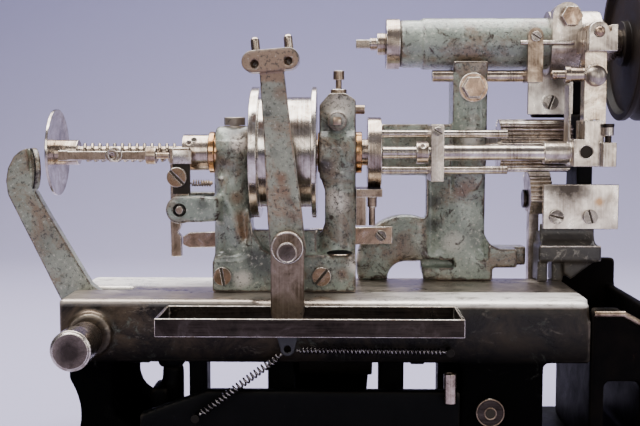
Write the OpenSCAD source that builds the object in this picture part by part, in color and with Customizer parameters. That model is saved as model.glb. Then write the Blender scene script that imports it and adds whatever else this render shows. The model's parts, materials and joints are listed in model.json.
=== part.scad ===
// Bench lathe that makes screws for clock movements. A belt-driven hollow spindle turns in two
// plain bearings. A hook lever pushes its collet open, guide rods carry the tool spindle, and a
// second spindle lies in the overarm above. X runs along the spindle, Z up, and the origin is the
// centre of the four foot bolt holes, at the underside.

/* [Bed] */
// Height of the bed's top above the feet
bed_top = 100; // [98:0.5:104]
// Depth of the bed casting from its top to the rim of its skirts
bed_deep = 36; // [32:0.5:38]
// Left end of the bed, left of the origin
bed_left = 169; // [167:0.5:176]
// Right end of the bed, right of the origin
bed_right = 129; // [126:0.5:133]
// Front edge of the bed, in front of the spindle
bed_front = 48; // [47:0.5:52]
// Rear edge of the bed, behind the spindle
bed_back = 41; // [41:0.5:43]
// Thickness of the bed's walls
bed_wall = 9; // [6:0.5:10]

/* [Base] */
// Length of the sole plate
sole_len = 330; // [324:1:360]
// Depth of the sole plate
sole_deep = 136; // [130:1:160]
// Thickness of the sole plate
sole_t = 10; // [8:0.5:14]
// Distance between the foot bolts along the bed
foot_x = 300; // [280:1:306]
// Distance between the foot bolts across the bed
foot_y = 112; // [104:1:116]
// Radius of a foot bolt hole
foot_hole_r = 4.5; // [3:0.25:5]
// Height of the front rail above the feet
rail_h = 48; // [40:0.5:52]

/* [Headstock] */
// Height of the spindle above the bed
centre_h = 81; // [80:0.5:86]
// Outer radius of the spindle's journals
spindle_r = 8; // [7:0.25:8.5]
// Radius of the hole through the spindle
spindle_bore_r = 4; // [3.9:0.02:4.4]
// Outer radius of the bronze bushes
bush_r = 10.5; // [10:0.25:11.5]
// Radius of the bushes' flanges
bush_flange_r = 12.4; // [12:0.1:13]
// Running clearance of shafts in their bearings
fit = 0.05; // [0.02:0.01:0.08]
// Radius of the bearing housings
housing_r = 16; // [14.5:0.25:17]

/* [Pulleys] */
// Radius of the pulleys' belt face
drum_r = 33; // [28:0.5:34]
// Radius of the flanges
flange_r = 39; // [36:0.5:39.5]
// Thickness of a pulley's rim and web
pulley_wall = 4; // [3:0.25:5]

/* [Belt shifter] */
// Distance from the lever's pivot to the middle of its head
lever_len = 105; // [100:0.5:110]
// Thickness of the painted lever
lever_t = 6; // [4.5:0.25:6.5]
// Radius of the lever's pivot pin
lever_pin_r = 3.5; // [2.5:0.25:4]

/* [Collet opener] */
// Radius of the push disc
disc_r = 25.8; // [20:0.2:27]
// Radius of the push rod
push_r = 3.9; // [3:0.05:3.9]
// Radius of the rock shaft
rock_r = 5; // [4:0.25:6]

/* [Tool spindle] */
// Radius of the guide rods
guide_r = 2.4; // [1.8:0.1:2.6]
// Distance of a guide rod above or below the spindle's axis
guide_up = 11; // [10:0.25:12]
// Distance of the guide rods behind the spindle's axis
guide_back = 13; // [12:0.25:14]
// Radius of the tool spindle's long part
tool_r = 4.65; // [4.3:0.05:5.2]
// Radius of the tool spindle's nose
tool_nose_r = 3.6; // [3:0.05:3.7]

/* [Gears] */
// Number of teeth of the long pinion
pinion_teeth = 32; // [28:2:34]
// Number of teeth of a full sector wheel
sector_teeth = 36; // [32:2:38]
// Tooth size: pitch radius over half the number of teeth
gear_module = 1; // [0.9:0.02:1.02]
// Clearance of a tooth in its gap
backlash = 0.16; // [0.1:0.02:0.3]

/* [Overarm] */
// Height of the overarm's axis above the bed
arm_up = 148; // [146:0.5:152]
// Distance of the overarm's axis behind the spindle
arm_back = 40; // [38:0.5:41]
// Outer radius of the overarm
arm_r = 16; // [14:0.25:16.5]
// Radius of the hole through the overarm
arm_bore_r = 6; // [5:0.25:8]
// Radius of the drive wheel on the overarm's spindle
wheel_r = 48; // [40:0.5:52]
// Width of the drive wheel
wheel_w = 14; // [8:0.5:16]

/* [Camshaft] */
// Height of the camshaft above the feet
cam_z = 66; // [62:0.5:66]
// Radius of the camshaft
cam_shaft_r = 5; // [4:0.25:6]
// Radius of the drum cam
cam_drum_r = 18; // [14:0.5:20]

/* [Springs] */
// Number of curls of the push rod's spring
push_curls = 13; // [8:1:15]
// Number of curls of the long extension spring
long_curls = 36; // [20:1:38]
// Number of curls of the short extension spring
short_curls = 22; // [12:1:24]
// Number of curls of the latch spring
latch_curls = 8; // [5:1:9]

/* [Hidden] */
$fn = 64;
spring_fn = 6;
rings = 8;

// Levels
bed_low = bed_top - bed_deep;
axis_z = bed_top + centre_h;
arm_z = bed_top + arm_up;
bed_x = [-bed_left, bed_right];
bed_y = [-bed_front, bed_back];
snug = 0.02;

// Headstock, along the spindle
left_x = [-85.5, -64];
right_x = [-23.4, -1.8];
stock_y = [-22, 20];
stock_h = 22;
stock_top = bed_top + stock_h;
pedestal_w = 16;
web_x = [left_x[1], right_x[0]];
web_y = [-16, -8];
web_top = stock_top + 14;
cap_x = -74;
cap_r = 6.3;
cap_h = 4.8;
oil_x = -12;
head_top = axis_z + 35;

// Spindle group
collar_x = [-104.4, -89.1];
collar_r = 10.8;
flange_t = 3.3;
nose_x = 12;
loose_x = [left_x[1] + 0.7, -44.6];
fast_x = [-44.2, -24.9];
hub_r = 13;
rim_w = [5, 2.8];
ring_x = [5.1, 13.2];
ring_r = 21;
ring_bore_r = 10;
ring_gap = 0.1;

// Belt shifter
lever_x = -40;
lever_z = stock_top + 6;
lever_y = [-44 - lever_t, -44];
bar_y = [-57, lever_y[0] - 0.3];
bar_r = 9.2;
lever_lean = 5;
head_w = 31.7;
head_h = 12.2;
head_y = [-54, -38];
eye_drop = 54;
eye_r = 4;
pin_w = 9.2;

// Tray in front of the bed
tray_x = [-108, 54];
tray_y = [-89, bed_y[0]];
tray_z = [bed_top - 13, bed_top - 3.2];
tray_t = 1.6;
tray_slot_x = [-60, -27];

// Collet opener
rock_x = -bed_left + 18;
rock_z = bed_top - 19.7;
hook_y = [-9, -1];
pad_r = 12.6;
pad_t = 3.4;
pad_turn = 27;
hook_z = rock_z + 91;
disc_x = rock_x - 30;
hub_x = [disc_x, disc_x + 13.6];
push_hub_r = 7.5;
push_end = -60;
dish = 3.5;
disc_t = 1.6;
boss_r = 12.3;
knob_y = [-94.6, -80];
knob_r = 10.9;

// Latch
latch_x = -103.6;
latch_z = axis_z - 32.5;
latch_pin_r = 2.3;
latch_y = [-19.7, 8.7];
ear_r = 8.2;
ear_front = [-27, -20];
ear_back = [9, 16];
stem_x = [-110, -99];
stem_y = [-19, -12];
link_z = axis_z - 1.5;
link_y = -15.5;
link_rod_r = 1.8;
catch_y = [22, 26];
catch_x = 14.3;
catch_z = bed_top + 29;
catch_tip = -109.2;
finger_y = [21.5, 27];

// Rear column
column_x = [58.6, 79.8];
column_y = [22, 54];
arch_y = [27, bed_back];
cross_y = 30;
cross_z = arm_z - 20.4;
column_top = cross_z + 9;
cross_r = 3.7;
link_x = [102.4, 111.4];
link_y_front = 14.6;
feeler_z = arm_z - 1;
feeler_r = 1.5;
cross_x = [45.7, link_x[1]];
low_column_x = [43, column_x[1]];
arch_x = [-1, 61];
arch_mid = [30, bed_top + 10];
arch_r = 31;
arch_hole_r = 11.3;
side_arm_x = [column_x[1], 100];
side_arm_z = [bed_top + 8, bed_top + 20];
shelf_x = [column_x[1], 107.5];
side_foot_x = [67.6, 84.7];
stub_x = [40, 61];
bolt_x = 70.5;
bolt_z = cross_z - 7.3;
bolt_r = 2.5;
arm_end_x = [17.5, 152];
arm_step_x = 40;
clamp_x = [118, 135.7];
clamp_wall = 4;
head_bracket_x = [136, 149.4];

// Tool spindle and its lever
tool_x = [14, 43, 112.8, 128.4];
block_x = [128.4, 144];
block_y = 11;
lever_pivot_x = 138.6;
lever_pivot_z = arm_z + 3.3;
cheek_x = [lever_pivot_x - 6, lever_pivot_x + 6.9];
cheek_r = 6;
trip_z = cross_z - 0.6;
trip_x = [114, 123];
drive_pin_r = 2.5;
drive_z = axis_z + 15;
fork_t = 5;
carriage_x = [42.5, 50.3];
stop_x = [34.2, 41.4];
stop_r = 6.6;

// Gears
pinion_x = [89.8, 134.8];
gear_y = 48;
pinion_r = gear_module * pinion_teeth / 2;
sector_r = gear_module * sector_teeth / 2;
pinion_z = axis_z + 3.2;
sector_z = pinion_z - pinion_r - sector_r;
sector_x = [108.4, 122];
sector_pin_r = 4;
gear_shaft_r = 4;

// Steel plates behind the tool spindle
low_plate_x = [114.5, 160.9];
low_plate_y = [22, 26];
ped_x = [111.7, 150.2];
ped_y = [18, bed_back];
ped_top = bed_top + 33;
ped_flange_z = [bed_top + 13, bed_top + 23.1];
ped_foot_x = [ped_x[0], ped_x[0] + 6.3];
ped_web_x = [123.5, 136.5];
high_plate_x = [109, 138];
high_plate_y = [51, 54];
high_plate_z = [pinion_z + pinion_r + 3.8, arm_z - arm_r - 1.4];
high_screw = [123.5, high_plate_z[0] + 7.8];
bracket_x = [ped_web_x[1], ped_web_x[1] + 9.5];
bracket_y = [28.5, 62];
high_bracket_x = [112, 150];
high_bracket_y = [high_plate_y[1], high_plate_y[1] + 6];
high_bracket_z = [high_plate_z[0] - 2, arm_z - 17];

// Camshaft
cam_y = -5;
chute_back = 48;
posts = [[-101, -90], [-54, -38], [12, 27], [47, 56]];
cam_x = [-128, posts[3][1]];
pillar_x = -111.6;
pillar_r = 6.6;
pillar_top = bed_low - 11;
cam_end_r = 11;
back_pier_x = [posts[1][0], 9];
leg_x = [-bed_left + 5, -bed_left + 29];
pier_x = [57, 103];
plug_x = 73;
plug_z = 37;
plug_r = 7.8;

drain_x = 50.3;
drain_y = bed_y[0] - 4.4;
drain_r = 3.6;
cam_ends = [[-138, -126], [31, 39]];

// Springs: the wire's radius and the coil's mean radius
push_wire = 0.75;
push_coil = push_r + push_wire + 0.27;
long_wire = 0.45;
long_coil = 1.4;
short_wire = 0.5;
short_coil = 1.8;
latch_wire = 0.35;
latch_coil = 1.6;
peg_r = 1.5;
spring_y = -54;
long_end = [48, 72.2];
short_end = [-90, 35.6];

steel = [0.72, 0.69, 0.65];
paint = [0.46, 0.53, 0.49];
dark = [0.16, 0.15, 0.15];
bronze = [0.66, 0.46, 0.26];
copper = [0.62, 0.50, 0.38];
rust = [0.45, 0.34, 0.26];

// A box from its lowest and highest X, Y and Z
module box(x, y, z) translate([x[0], y[0], z[0]]) cube([x[1] - x[0], y[1] - y[0], z[1] - z[0]]);

// Cylinders along X, Y and Z, from the first to the last place on their axis
module along_x(x, y, z, r) translate([x[0], y, z]) rotate([0, 90, 0]) cylinder(h = x[1] - x[0], r = r);
module along_y(y, x, z, r) translate([x, y[0], z]) rotate([-90, 0, 0]) cylinder(h = y[1] - y[0], r = r);
module along_z(z, x, y, r) translate([x, y, z[0]]) cylinder(h = z[1] - z[0], r = r);

// A plate whose outline stands in the XZ plane, and one whose outline stands in the YZ plane
module plate_y(y) translate([0, y[1], 0]) rotate([90, 0, 0]) linear_extrude(y[1] - y[0]) children();
module plate_x(x) translate([x[0], 0, 0]) rotate([90, 0, 90]) linear_extrude(x[1] - x[0]) children();

// A body turned about an axis along X, from a profile of radius against X
module turned_x(y, z, points) translate([0, y, z]) rotate([0, 90, 0]) rotate_extrude() polygon(points);

// A screw whose slotted head faces the front: the head's middle, radius and height, its shank's
// radius and length, and the angle of its slot
module slotted_screw(x, y, z, r, h, shank, depth, turn) {
    difference() {
        along_y([y - h, y], x, z, r);
        translate([x, y - h, z]) rotate([0, turn, 0]) cube([3 * r, h, r / 4], center = true);
    }
    along_y([y, y + depth], x, z, shank);
}

// The centre line of a coil from a to b: a straight end, curls whose radius grows from nothing and
// falls back to it, and another straight end
function unit(v) = v / norm(v);
function coil_line(a, b, n, r, lead) =
    let (u = unit(b - a), side = unit(cross(u, [0, 1, 0.3])), up = cross(u, side),
        span = norm(b - a) - 2 * lead, steps = n * rings)
    concat([a], [for (i = [0:steps])
        let (t = i / steps, grow = min(1, i / rings * 2, (steps - i) / rings * 2), turn = 360 * n * t)
        a + u * (lead + span * t) + r * grow * (cos(turn) * side + sin(turn) * up)], [b]);

// The least distance between turns of a line that are at least half a curl apart
function turn_gap(p, r) = min([for (i = [0:len(p) - 1]) for (j = [i + rings / 2:len(p) - 1])
    norm(p[i] - p[j])]) - 2 * r;

// One unbroken tube along a line of points
module tube(p, r) {
    last = len(p) - 1;
    along = [for (i = [0:last]) unit(p[min(i + 1, last)] - p[max(i - 1, 0)])];
    main = unit(p[last] - p[0]);
    flat = unit(cross(main, [0.1, 1, 0.3]));
    ring_points = [for (i = [0:last])
        let (a = unit(flat - (flat * along[i]) * along[i]), b = cross(along[i], a))
        for (k = [0:spring_fn - 1]) p[i] + r * (cos(360 * k / spring_fn) * a + sin(360 * k / spring_fn) * b)];
    sides = [for (i = [0:last - 1]) for (k = [0:spring_fn - 1])
        let (m = (k + 1) % spring_fn, q = i * spring_fn)
        each [[q + k, q + m, q + spring_fn + m], [q + k, q + spring_fn + m, q + spring_fn + k]]];
    ends = [for (k = [1:spring_fn - 2]) each [[0, k + 1, k],
        [last * spring_fn, last * spring_fn + k, last * spring_fn + k + 1]]];
    polyhedron(ring_points, concat(sides, ends));
}

// The outline of a toothed wheel from tooth a to tooth b, as seen along its axis
function tooth(i, n, r, phase) = let (p = 360 / n, c = i * p + phase,
    root = r - 1.15 * gear_module, tip = r + 0.85 * gear_module,
    w = 90 / n - backlash / r * 14, foot = w * 1.5, top = w * 0.42)
    [for (q = [[root, -foot], [r, -w], [tip, -top], [tip, top], [r, w], [root, foot]])
        [q[0] * cos(c + q[1]), q[0] * sin(c + q[1])]];

module base_frame() color(dark) {
    difference() {
        box([-sole_len / 2, sole_len / 2], [-sole_deep / 2, sole_deep / 2], [0, sole_t]);
        for (x = [-1, 1], y = [-1, 1])
            translate([x * foot_x / 2, y * foot_y / 2, -1]) cylinder(h = sole_t + 2, r = foot_hole_r);
    }
    plate_y([bed_y[0], bed_y[0] + 10]) polygon([[pillar_x - 13, sole_t], [pillar_x - 13, rail_h - 14],
        [posts[0][1] + 4, rail_h], [pier_x[0], rail_h], [pier_x[0], sole_t]]);
    box([leg_x[1] + 12, pier_x[0]], [bed_y[1] - 8, bed_y[1]], [sole_t, sole_t + 10]);
    plate_y([bed_y[1] - 8, bed_y[1]]) polygon([[back_pier_x[0], sole_t], [back_pier_x[0], bed_low - 0.4],
        [back_pier_x[1], bed_low - 0.4], [back_pier_x[1] - 4, sole_t]]);
    along_z([sole_t, pillar_top], pillar_x, cam_y, pillar_r);
    box([leg_x[1] + 16, leg_x[1] + 27], [cam_y - 12, cam_y + 12], [sole_t, rail_h - 6]);
}

module bed() color(paint) {
    hollow_x = [bed_x[0] + bed_wall, bed_x[1] - bed_wall];
    hollow_y = [bed_y[0] + bed_wall, bed_y[1] - bed_wall];
    difference() {
        union() {
            difference() {
                box(bed_x, bed_y, [bed_low, bed_top]);
                box(hollow_x, hollow_y, [bed_low - 1, bed_top - bed_wall]);
            }
            for (y = [[bed_y[0] - 5, hollow_y[0]], [hollow_y[1], bed_y[1] + 4]])
                along_y(y, rock_x, rock_z, boss_r);
        }
        along_y([bed_y[0] - 6, bed_y[1] + 6], rock_x, rock_z, rock_r + fit);
        box([bed_x[0] - 1, rock_x + 15], [hook_y[0] - 2, hook_y[1] + 2], [bed_low - 1, bed_top + 1]);
    }
    difference() {
        box(leg_x, bed_y, [sole_t, bed_low]);
        along_y([bed_y[0] - 1, bed_y[1] + 1], leg_x[0] - 30, bed_low - 30, 36);
    }
    difference() {
        box([leg_x[1], leg_x[1] + 12], bed_y, [sole_t, sole_t + 28]);
        along_y([bed_y[0] - 1, bed_y[1] + 1], leg_x[1] + 14, sole_t + 30, 13.5);
    }
    difference() {
        box(pier_x, bed_y, [sole_t, bed_low]);
        box([pier_x[0] + bed_wall, pier_x[1] - bed_wall], [bed_y[0] + bed_wall, bed_y[1] + 1],
            [sole_t - 1, bed_low + 1]);
        along_y([bed_y[0] - 1, bed_y[0] + bed_wall + 1], plug_x, plug_z, 4 + snug);
    }
}

module chip_tray() color(steel) difference() {
    box(tray_x, tray_y, tray_z);
    box([tray_x[0] + tray_t, tray_x[1] - tray_t], [tray_y[0] + tray_t, tray_y[1] - tray_t],
        [tray_z[0] + tray_t, tray_z[1] + 1]);
    box(tray_slot_x, [bar_y[0] - 2.5, tray_y[1] - tray_t], [tray_z[0] - 1, tray_z[1]]);
}

module chip_chute() color(rust) {
    chute_x = [bed_x[1], sole_len / 2];
    difference() {
        union() {
            box(chute_x, [bed_y[0], chute_back], [sole_t, bed_top - 4]);
            box(chute_x, [chute_back - 5.5, chute_back], [bed_top - 5, bed_top + 13]);
        }
        box([chute_x[0] - 1, chute_x[1] - 6], [bed_y[0] + 6, chute_back - 5.5], [bed_top - 34, bed_top + 14]);
        box([chute_x[0] + 8, chute_x[1] - 8], [bed_y[0] - 1, chute_back + 1], [sole_t + 8, bed_top - 46]);
        along_y([bed_y[0] - 1, bed_y[0] + 7], chute_x[1] + 2, bed_top + 18, 32);
    }
}

module headstock() color(paint) difference() {
    union() {
        box([left_x[0], right_x[1]], stock_y, [bed_top, stock_top]);
        box(left_x, [-pedestal_w, pedestal_w], [stock_top, axis_z]);
        along_x(left_x, 0, axis_z, housing_r);
        plate_y([-pedestal_w, pedestal_w]) polygon([[right_x[0], axis_z], [right_x[0], axis_z - 12],
            [right_x[0] + 3.4, axis_z - 22], [right_x[0] + 3.4, stock_top], [right_x[1], stock_top],
            [right_x[1], axis_z]]);
        plate_y([-pedestal_w, web_y[1]]) polygon([[right_x[0] + 5, stock_top], [right_x[0] + 5, stock_top + 18],
            [right_x[0] + 3.4, stock_top + 18], [right_x[0], stock_top + 8], [right_x[0] - 7, stock_top]]);
        plate_y([stock_y[0], web_y[1]]) polygon([[left_x[1] - 1, stock_top], [left_x[1] - 1, stock_top + 28],
            [left_x[1] + 2.5, stock_top + 13], [left_x[1] + 8, stock_top + 3.5], [left_x[1] + 14, stock_top]]);
        along_x(right_x, 0, axis_z, housing_r);
        plate_y([-9, 9]) polygon([[right_x[0], axis_z], [right_x[0], head_top - 7], [right_x[0] + 6, head_top],
            [right_x[1] - 6, head_top], [right_x[1], head_top - 4], [right_x[1], axis_z]]);
        box(web_x, web_y, [stock_top, web_top]);
        along_z([axis_z, axis_z + 16.2], cap_x, 0, cap_r);
        along_y([-21, -8], oil_x - 0.8, axis_z + 18.6, 5.8);
        for (y = [ear_front, ear_back]) {
            along_y(y, latch_x, latch_z, ear_r);
            box([latch_x, left_x[0] + 5], y, [latch_z - ear_r + 1, latch_z + ear_r]);
        }
        box([left_x[0], left_x[0] + 5], [ear_front[0], -pedestal_w], [latch_z - ear_r + 1, latch_z + ear_r]);
        plate_y([-pedestal_w - 3, -pedestal_w]) polygon([[left_x[0] + 2, axis_z - 14],
            [left_x[0] + 6, axis_z - 14], [left_x[1], stock_top], [left_x[1] - 6, stock_top]]);
    }
    along_x([left_x[0] - 1, left_x[1] + 1], 0, axis_z, bush_r + snug);
    along_x([right_x[0] - 1, right_x[1] + 1], 0, axis_z, bush_r + snug);
    along_z([axis_z + housing_r - 4, head_top + 1], oil_x, 0, 1.8 + snug);
    along_x([right_x[1] - 6, right_x[1] + 1], 0, axis_z + 25.5, 2.7 + snug);
    along_z([axis_z + housing_r - 4, axis_z + 17], cap_x, 0, 2.5 + snug);
    along_y([web_y[0] - 1, web_y[1] + 1], lever_x, lever_z, lever_pin_r + snug);
    for (y = [ear_front, ear_back]) along_y([y[0] - 1, y[1] + 1], latch_x, latch_z, latch_pin_r + fit);
    for (x = [left_x[0] + 6.2, right_x[1] - 20])
        along_y([stock_y[0] - 1, stock_y[0] + 13], x, bed_top + 9.8, 3 + snug);
}

module slotted_screws() color(copper) {
    slotted_screw(left_x[0] + 6.2, stock_y[0], bed_top + 9.8, 5.3, 3.4, 3, 12, 80);
    slotted_screw(right_x[1] - 20, stock_y[0], bed_top + 9.8, 5.5, 3.4, 3, 12, -50);
    slotted_screw(catch_x, catch_y[0] - 0.3, catch_z, 3.4, 2, bolt_r - fit, 14, 45);
    slotted_screw((link_x[0] + link_x[1]) / 2, link_y_front, arm_z + 2.6, 3.1, 2, 1.5, 4, 30);
    slotted_screw((carriage_x[0] + carriage_x[1]) / 2, -7, axis_z + 12.5, 2.8, 2.4, 1.5, 5, 30);
    slotted_screw(high_screw[0], high_plate_y[0], high_screw[1], 4.8, 2.4, 2, 3, -70);
    for (s = [[122.7, 14], [143.4, 73]])
        slotted_screw(s[0], low_plate_y[0], bed_top + 40.9, 4.5, 2.4, 2, 4, s[1]);
    slotted_screw(plug_x, bed_y[0], plug_z, plug_r, 3, 4, bed_wall, 90);
}

module bush(x, flange, inner) difference() {
    union() {
        along_x(x, 0, axis_z, bush_r);
        along_x(flange, 0, axis_z, bush_flange_r);
        along_x(inner, 0, axis_z, bush_flange_r - 0.4);
    }
    along_x([flange[0] - 99, flange[1] + 99], 0, axis_z, spindle_r + fit);
}
module rear_bush() color(bronze) bush(left_x, [left_x[0] - flange_t, left_x[0]], [left_x[0] - 0.5, left_x[0]]);
module front_bush() color(bronze) bush(right_x, [right_x[1], right_x[1] + flange_t + 0.3],
    [right_x[0] - 0.9, right_x[0]]);

module rear_oil_cap() color(dark) {
    along_z([axis_z + 16.2, axis_z + 16.2 + cap_h], cap_x, 0, cap_r);
    along_z([axis_z + housing_r - 2, axis_z + 16.2], cap_x, 0, 2.5);
}

module oil_plugs() color(steel) {
    along_z([head_top - 10, head_top], oil_x, 0, 1.8);
    along_z([head_top, head_top + 2.4], oil_x, 0, 4.8);
    along_z([head_top + 2.4, head_top + 8], oil_x, 0, 1.8);
    along_z([head_top + 8, head_top + 13.4], oil_x, 0, 3.3);
    along_x([right_x[1] - 6, right_x[1] + 5.4], 0, axis_z + 25.5, 2.7);
}

module nose_ring() color(steel) difference() {
    along_x(ring_x, 0, axis_z, ring_r);
    along_x([ring_x[0] - 1, ring_x[1] + 1], 0, axis_z, ring_bore_r);
    for (s = [-1, 1]) along_x([ring_x[0] - 1, ring_x[1] + 1], guide_back, axis_z + s * guide_up, guide_r + snug);
}

module nose_bracket() color(steel) {
    top = axis_z - ring_r - ring_gap;
    box([right_x[1], ring_x[1] + 0.6], [-12, 12], [top - 4.8, top]);
    box([right_x[1], right_x[1] + 6.2], [-9, 9], [top - 22, top - 4.8]);
    along_z([top - 22, top - 4.8], right_x[1] + 9.7, -6, 1.9);
    along_z([top - 11, top - 4.8], right_x[1] + 9.7, -6, 2.8);
}

module guide_rods() color(steel) for (s = [-1, 1])
    along_x([ring_x[0], 90.5], guide_back, axis_z + s * guide_up, guide_r);

module rod_carriage() color(steel) difference() {
    union() {
        box(carriage_x, [-7, column_y[0]], [axis_z - guide_up - 6, axis_z + guide_up + 5.6]);
    }
    for (s = [-1, 1])
        along_x([carriage_x[0] - 1, carriage_x[1] + 1], guide_back, axis_z + s * guide_up, guide_r + snug);
    along_x([carriage_x[0] - 1, carriage_x[1] + 1], 0, axis_z, tool_r + fit);
    along_y([-8, -2], (carriage_x[0] + carriage_x[1]) / 2, axis_z + 12.5, 1.5 + snug);
}

module rear_column() color(paint) difference() {
    union() {
        intersection() {
            along_y(arch_y, arch_mid[0], arch_mid[1], arch_r);
            box(arch_x, arch_y, [bed_top, arch_mid[1] + arch_r + 1]);
        }
        box([stub_x[1] - 1, side_foot_x[0] + 1], arch_y, [bed_top + 13, side_arm_z[1]]);
        box(low_column_x, arch_y, [side_arm_z[1], axis_z - 13]);
        plate_y(arch_y) polygon([[low_column_x[0] + 14, side_arm_z[1] + 1], [low_column_x[1], side_arm_z[1] + 9],
            [low_column_x[1] + 3, side_arm_z[1] + 3], [low_column_x[1] + 9, side_arm_z[1]],
            [low_column_x[1], side_arm_z[0]], [low_column_x[0] + 14, side_arm_z[0]]]);
        box(side_arm_x, arch_y, side_arm_z);
        box([side_foot_x[0], column_x[1] + 1], arch_y, side_arm_z);
        box(side_foot_x, arch_y, [bed_top, side_arm_z[0] + 1]);
        box(shelf_x, [arch_y[1] - 1, column_y[1]], side_arm_z);
        box([stub_x[0], side_foot_x[0]], arch_y, [bed_top, bed_top + 8]);
        box([stub_x[0] + 6, side_foot_x[0] + 1], [arch_y[0] + 9, arch_y[1]], [bed_top, bed_top + 14]);
        box(column_x, [arch_y[0], column_y[1]], [side_arm_z[0], column_top]);
        plate_x(column_x) polygon([[arch_y[0], axis_z - 30], [column_y[0], axis_z - 4], [column_y[0], column_top],
            [column_y[1], column_top], [column_y[1], axis_z - 30]]);
        box([14, column_x[0]], [column_y[0], arm_back], [axis_z - 15, axis_z + 17]);
    }
    along_y([arch_y[0] - 1, arch_y[1] + 1], arch_mid[0], bed_top + 0.5, arch_hole_r);
    box([arch_mid[0], stub_x[0]], [arch_y[0] - 1, arch_y[1] + 1], [bed_top - 1, bed_top + 0.5 + arch_hole_r]);
    box([stub_x[0] - 1, stub_x[1]], [arch_y[0] - 1, arch_y[0] + 9], [bed_top + 8, bed_top + 13]);
    along_x([0, 200], arm_back, arm_z, arm_r + snug);
    along_x([column_x[0] - 1, column_x[1] + 1], cross_y, cross_z, cross_r + snug);
    along_y([column_y[0] - 1, column_y[0] + 20], bolt_x, bolt_z, bolt_r + snug);
    along_x([column_x[1] - 13, column_x[1] + 1], gear_y, pinion_z, gear_shaft_r + fit);
    along_y([arch_y[0] - 1, arch_y[1] - 2], catch_x, catch_z, bolt_r + snug);
}

module hex_bolts() color(copper) {
    along_y([column_y[0], column_y[0] + 19], bolt_x, bolt_z, bolt_r);
    along_y([column_y[0] - 1.6, column_y[0]], bolt_x, bolt_z, 9);
    translate([bolt_x, column_y[0] - 7, bolt_z]) rotate([-90, 0, 0]) cylinder(h = 5.4, r = 7, $fn = 6);
    translate([128.7, arm_back - arm_r - clamp_wall - 5.6, arm_z + 15]) rotate([-90, 0, 0])
        cylinder(h = 5.6, r = 6.6, $fn = 6);
    along_y([arm_back - arm_r - clamp_wall, arm_back - 10.8], 128.7, arm_z + 15, bolt_r);
}

module cross_rod() color(steel) along_x(cross_x, cross_y, cross_z, cross_r);

module link_plate() color(rust) difference() {
    mid = (link_x[0] + link_x[1]) / 2;
    union() {
        box(link_x, [link_y_front, link_y_front + 4.8], [cross_z - 4.2, arm_z + 3.5]);
        along_y([link_y_front, link_y_front + 4.8], mid, arm_z + 3.5, (link_x[1] - link_x[0]) / 2);
        box(link_x, [link_y_front, cross_y + cross_r], [cross_z - 4.2, cross_z + 4.1]);
    }
    along_x([link_x[0] - 1, link_x[1] + 1], cross_y, cross_z, cross_r + snug);
    along_x([link_x[0] - 1, link_x[1] + 1], link_y_front + 2.4, feeler_z, feeler_r + snug);
    along_y([link_y_front - 1, link_y_front + 4.4], mid, arm_z + 2.6, 1.5 + snug);
}

module feeler_rod() color(steel) along_x([link_x[0] - 4.4, link_x[1] + 19.2], link_y_front + 2.4, feeler_z, feeler_r);

module overarm_tube() color(paint) difference() {
    union() {
        along_x([26, arm_step_x], arm_back, arm_z, arm_r - 1.2);
        along_x([arm_step_x, arm_end_x[1]], arm_back, arm_z, arm_r);
    }
    along_x([0, 200], arm_back, arm_z, arm_bore_r);
}

module overarm_cap() color(steel) difference() {
    along_x([arm_end_x[0], 26], arm_back, arm_z, arm_r - 0.4);
    along_x([0, 200], arm_back, arm_z, arm_bore_r);
}

module overarm_clamp() color(steel) {
    out_r = arm_r + clamp_wall;
    difference() {
        union() {
            along_x(clamp_x, arm_back, arm_z, out_r);
            box(clamp_x, [arm_back - out_r, arm_back - 6], [arm_z - 4, arm_z + 15]);
            along_y([arm_back - out_r, arm_back - 6], (clamp_x[0] + clamp_x[1]) / 2, arm_z + 15, 8.8);
        }
        along_x([0, 200], arm_back, arm_z, arm_r + snug);
        along_y([arm_back - out_r - 1, arm_back - 8], 128.7, arm_z + 15, bolt_r + snug);
    }
}

module pivot_head() color(steel) difference() {
    union() {
        along_x(head_bracket_x, arm_back, arm_z, arm_r + clamp_wall);
        for (y = [[-12, -fork_t - 0.4], [fork_t + 0.4, arm_back - arm_r - clamp_wall - 0.5]]) {
            box(cheek_x, y, [lever_pivot_z - 11.3, lever_pivot_z]);
            along_y(y, lever_pivot_x, lever_pivot_z, cheek_r);
        }
        box([cheek_x[1], head_bracket_x[1]], [-12, arm_back], [lever_pivot_z - 11.3, lever_pivot_z + 4]);
    }
    along_x([0, 200], arm_back, arm_z, arm_r + snug);
    along_y([-13, 13], lever_pivot_x, lever_pivot_z, 3 + fit);
}

module upper_plate() color(steel) difference() {
    box(high_plate_x, high_plate_y, high_plate_z);
    along_y([high_plate_y[0] - 1, high_plate_y[1] + 1], high_screw[0], high_screw[1], 2 + snug);
}

module lower_plate() color(steel) difference() {
    box(low_plate_x, low_plate_y, [ped_top, bed_top + 60.8]);
    for (x = [122.7, 143.4])
        along_y([low_plate_y[0] - 1, low_plate_y[1] + 1], x, bed_top + 40.9, 2 + snug);
}

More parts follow.
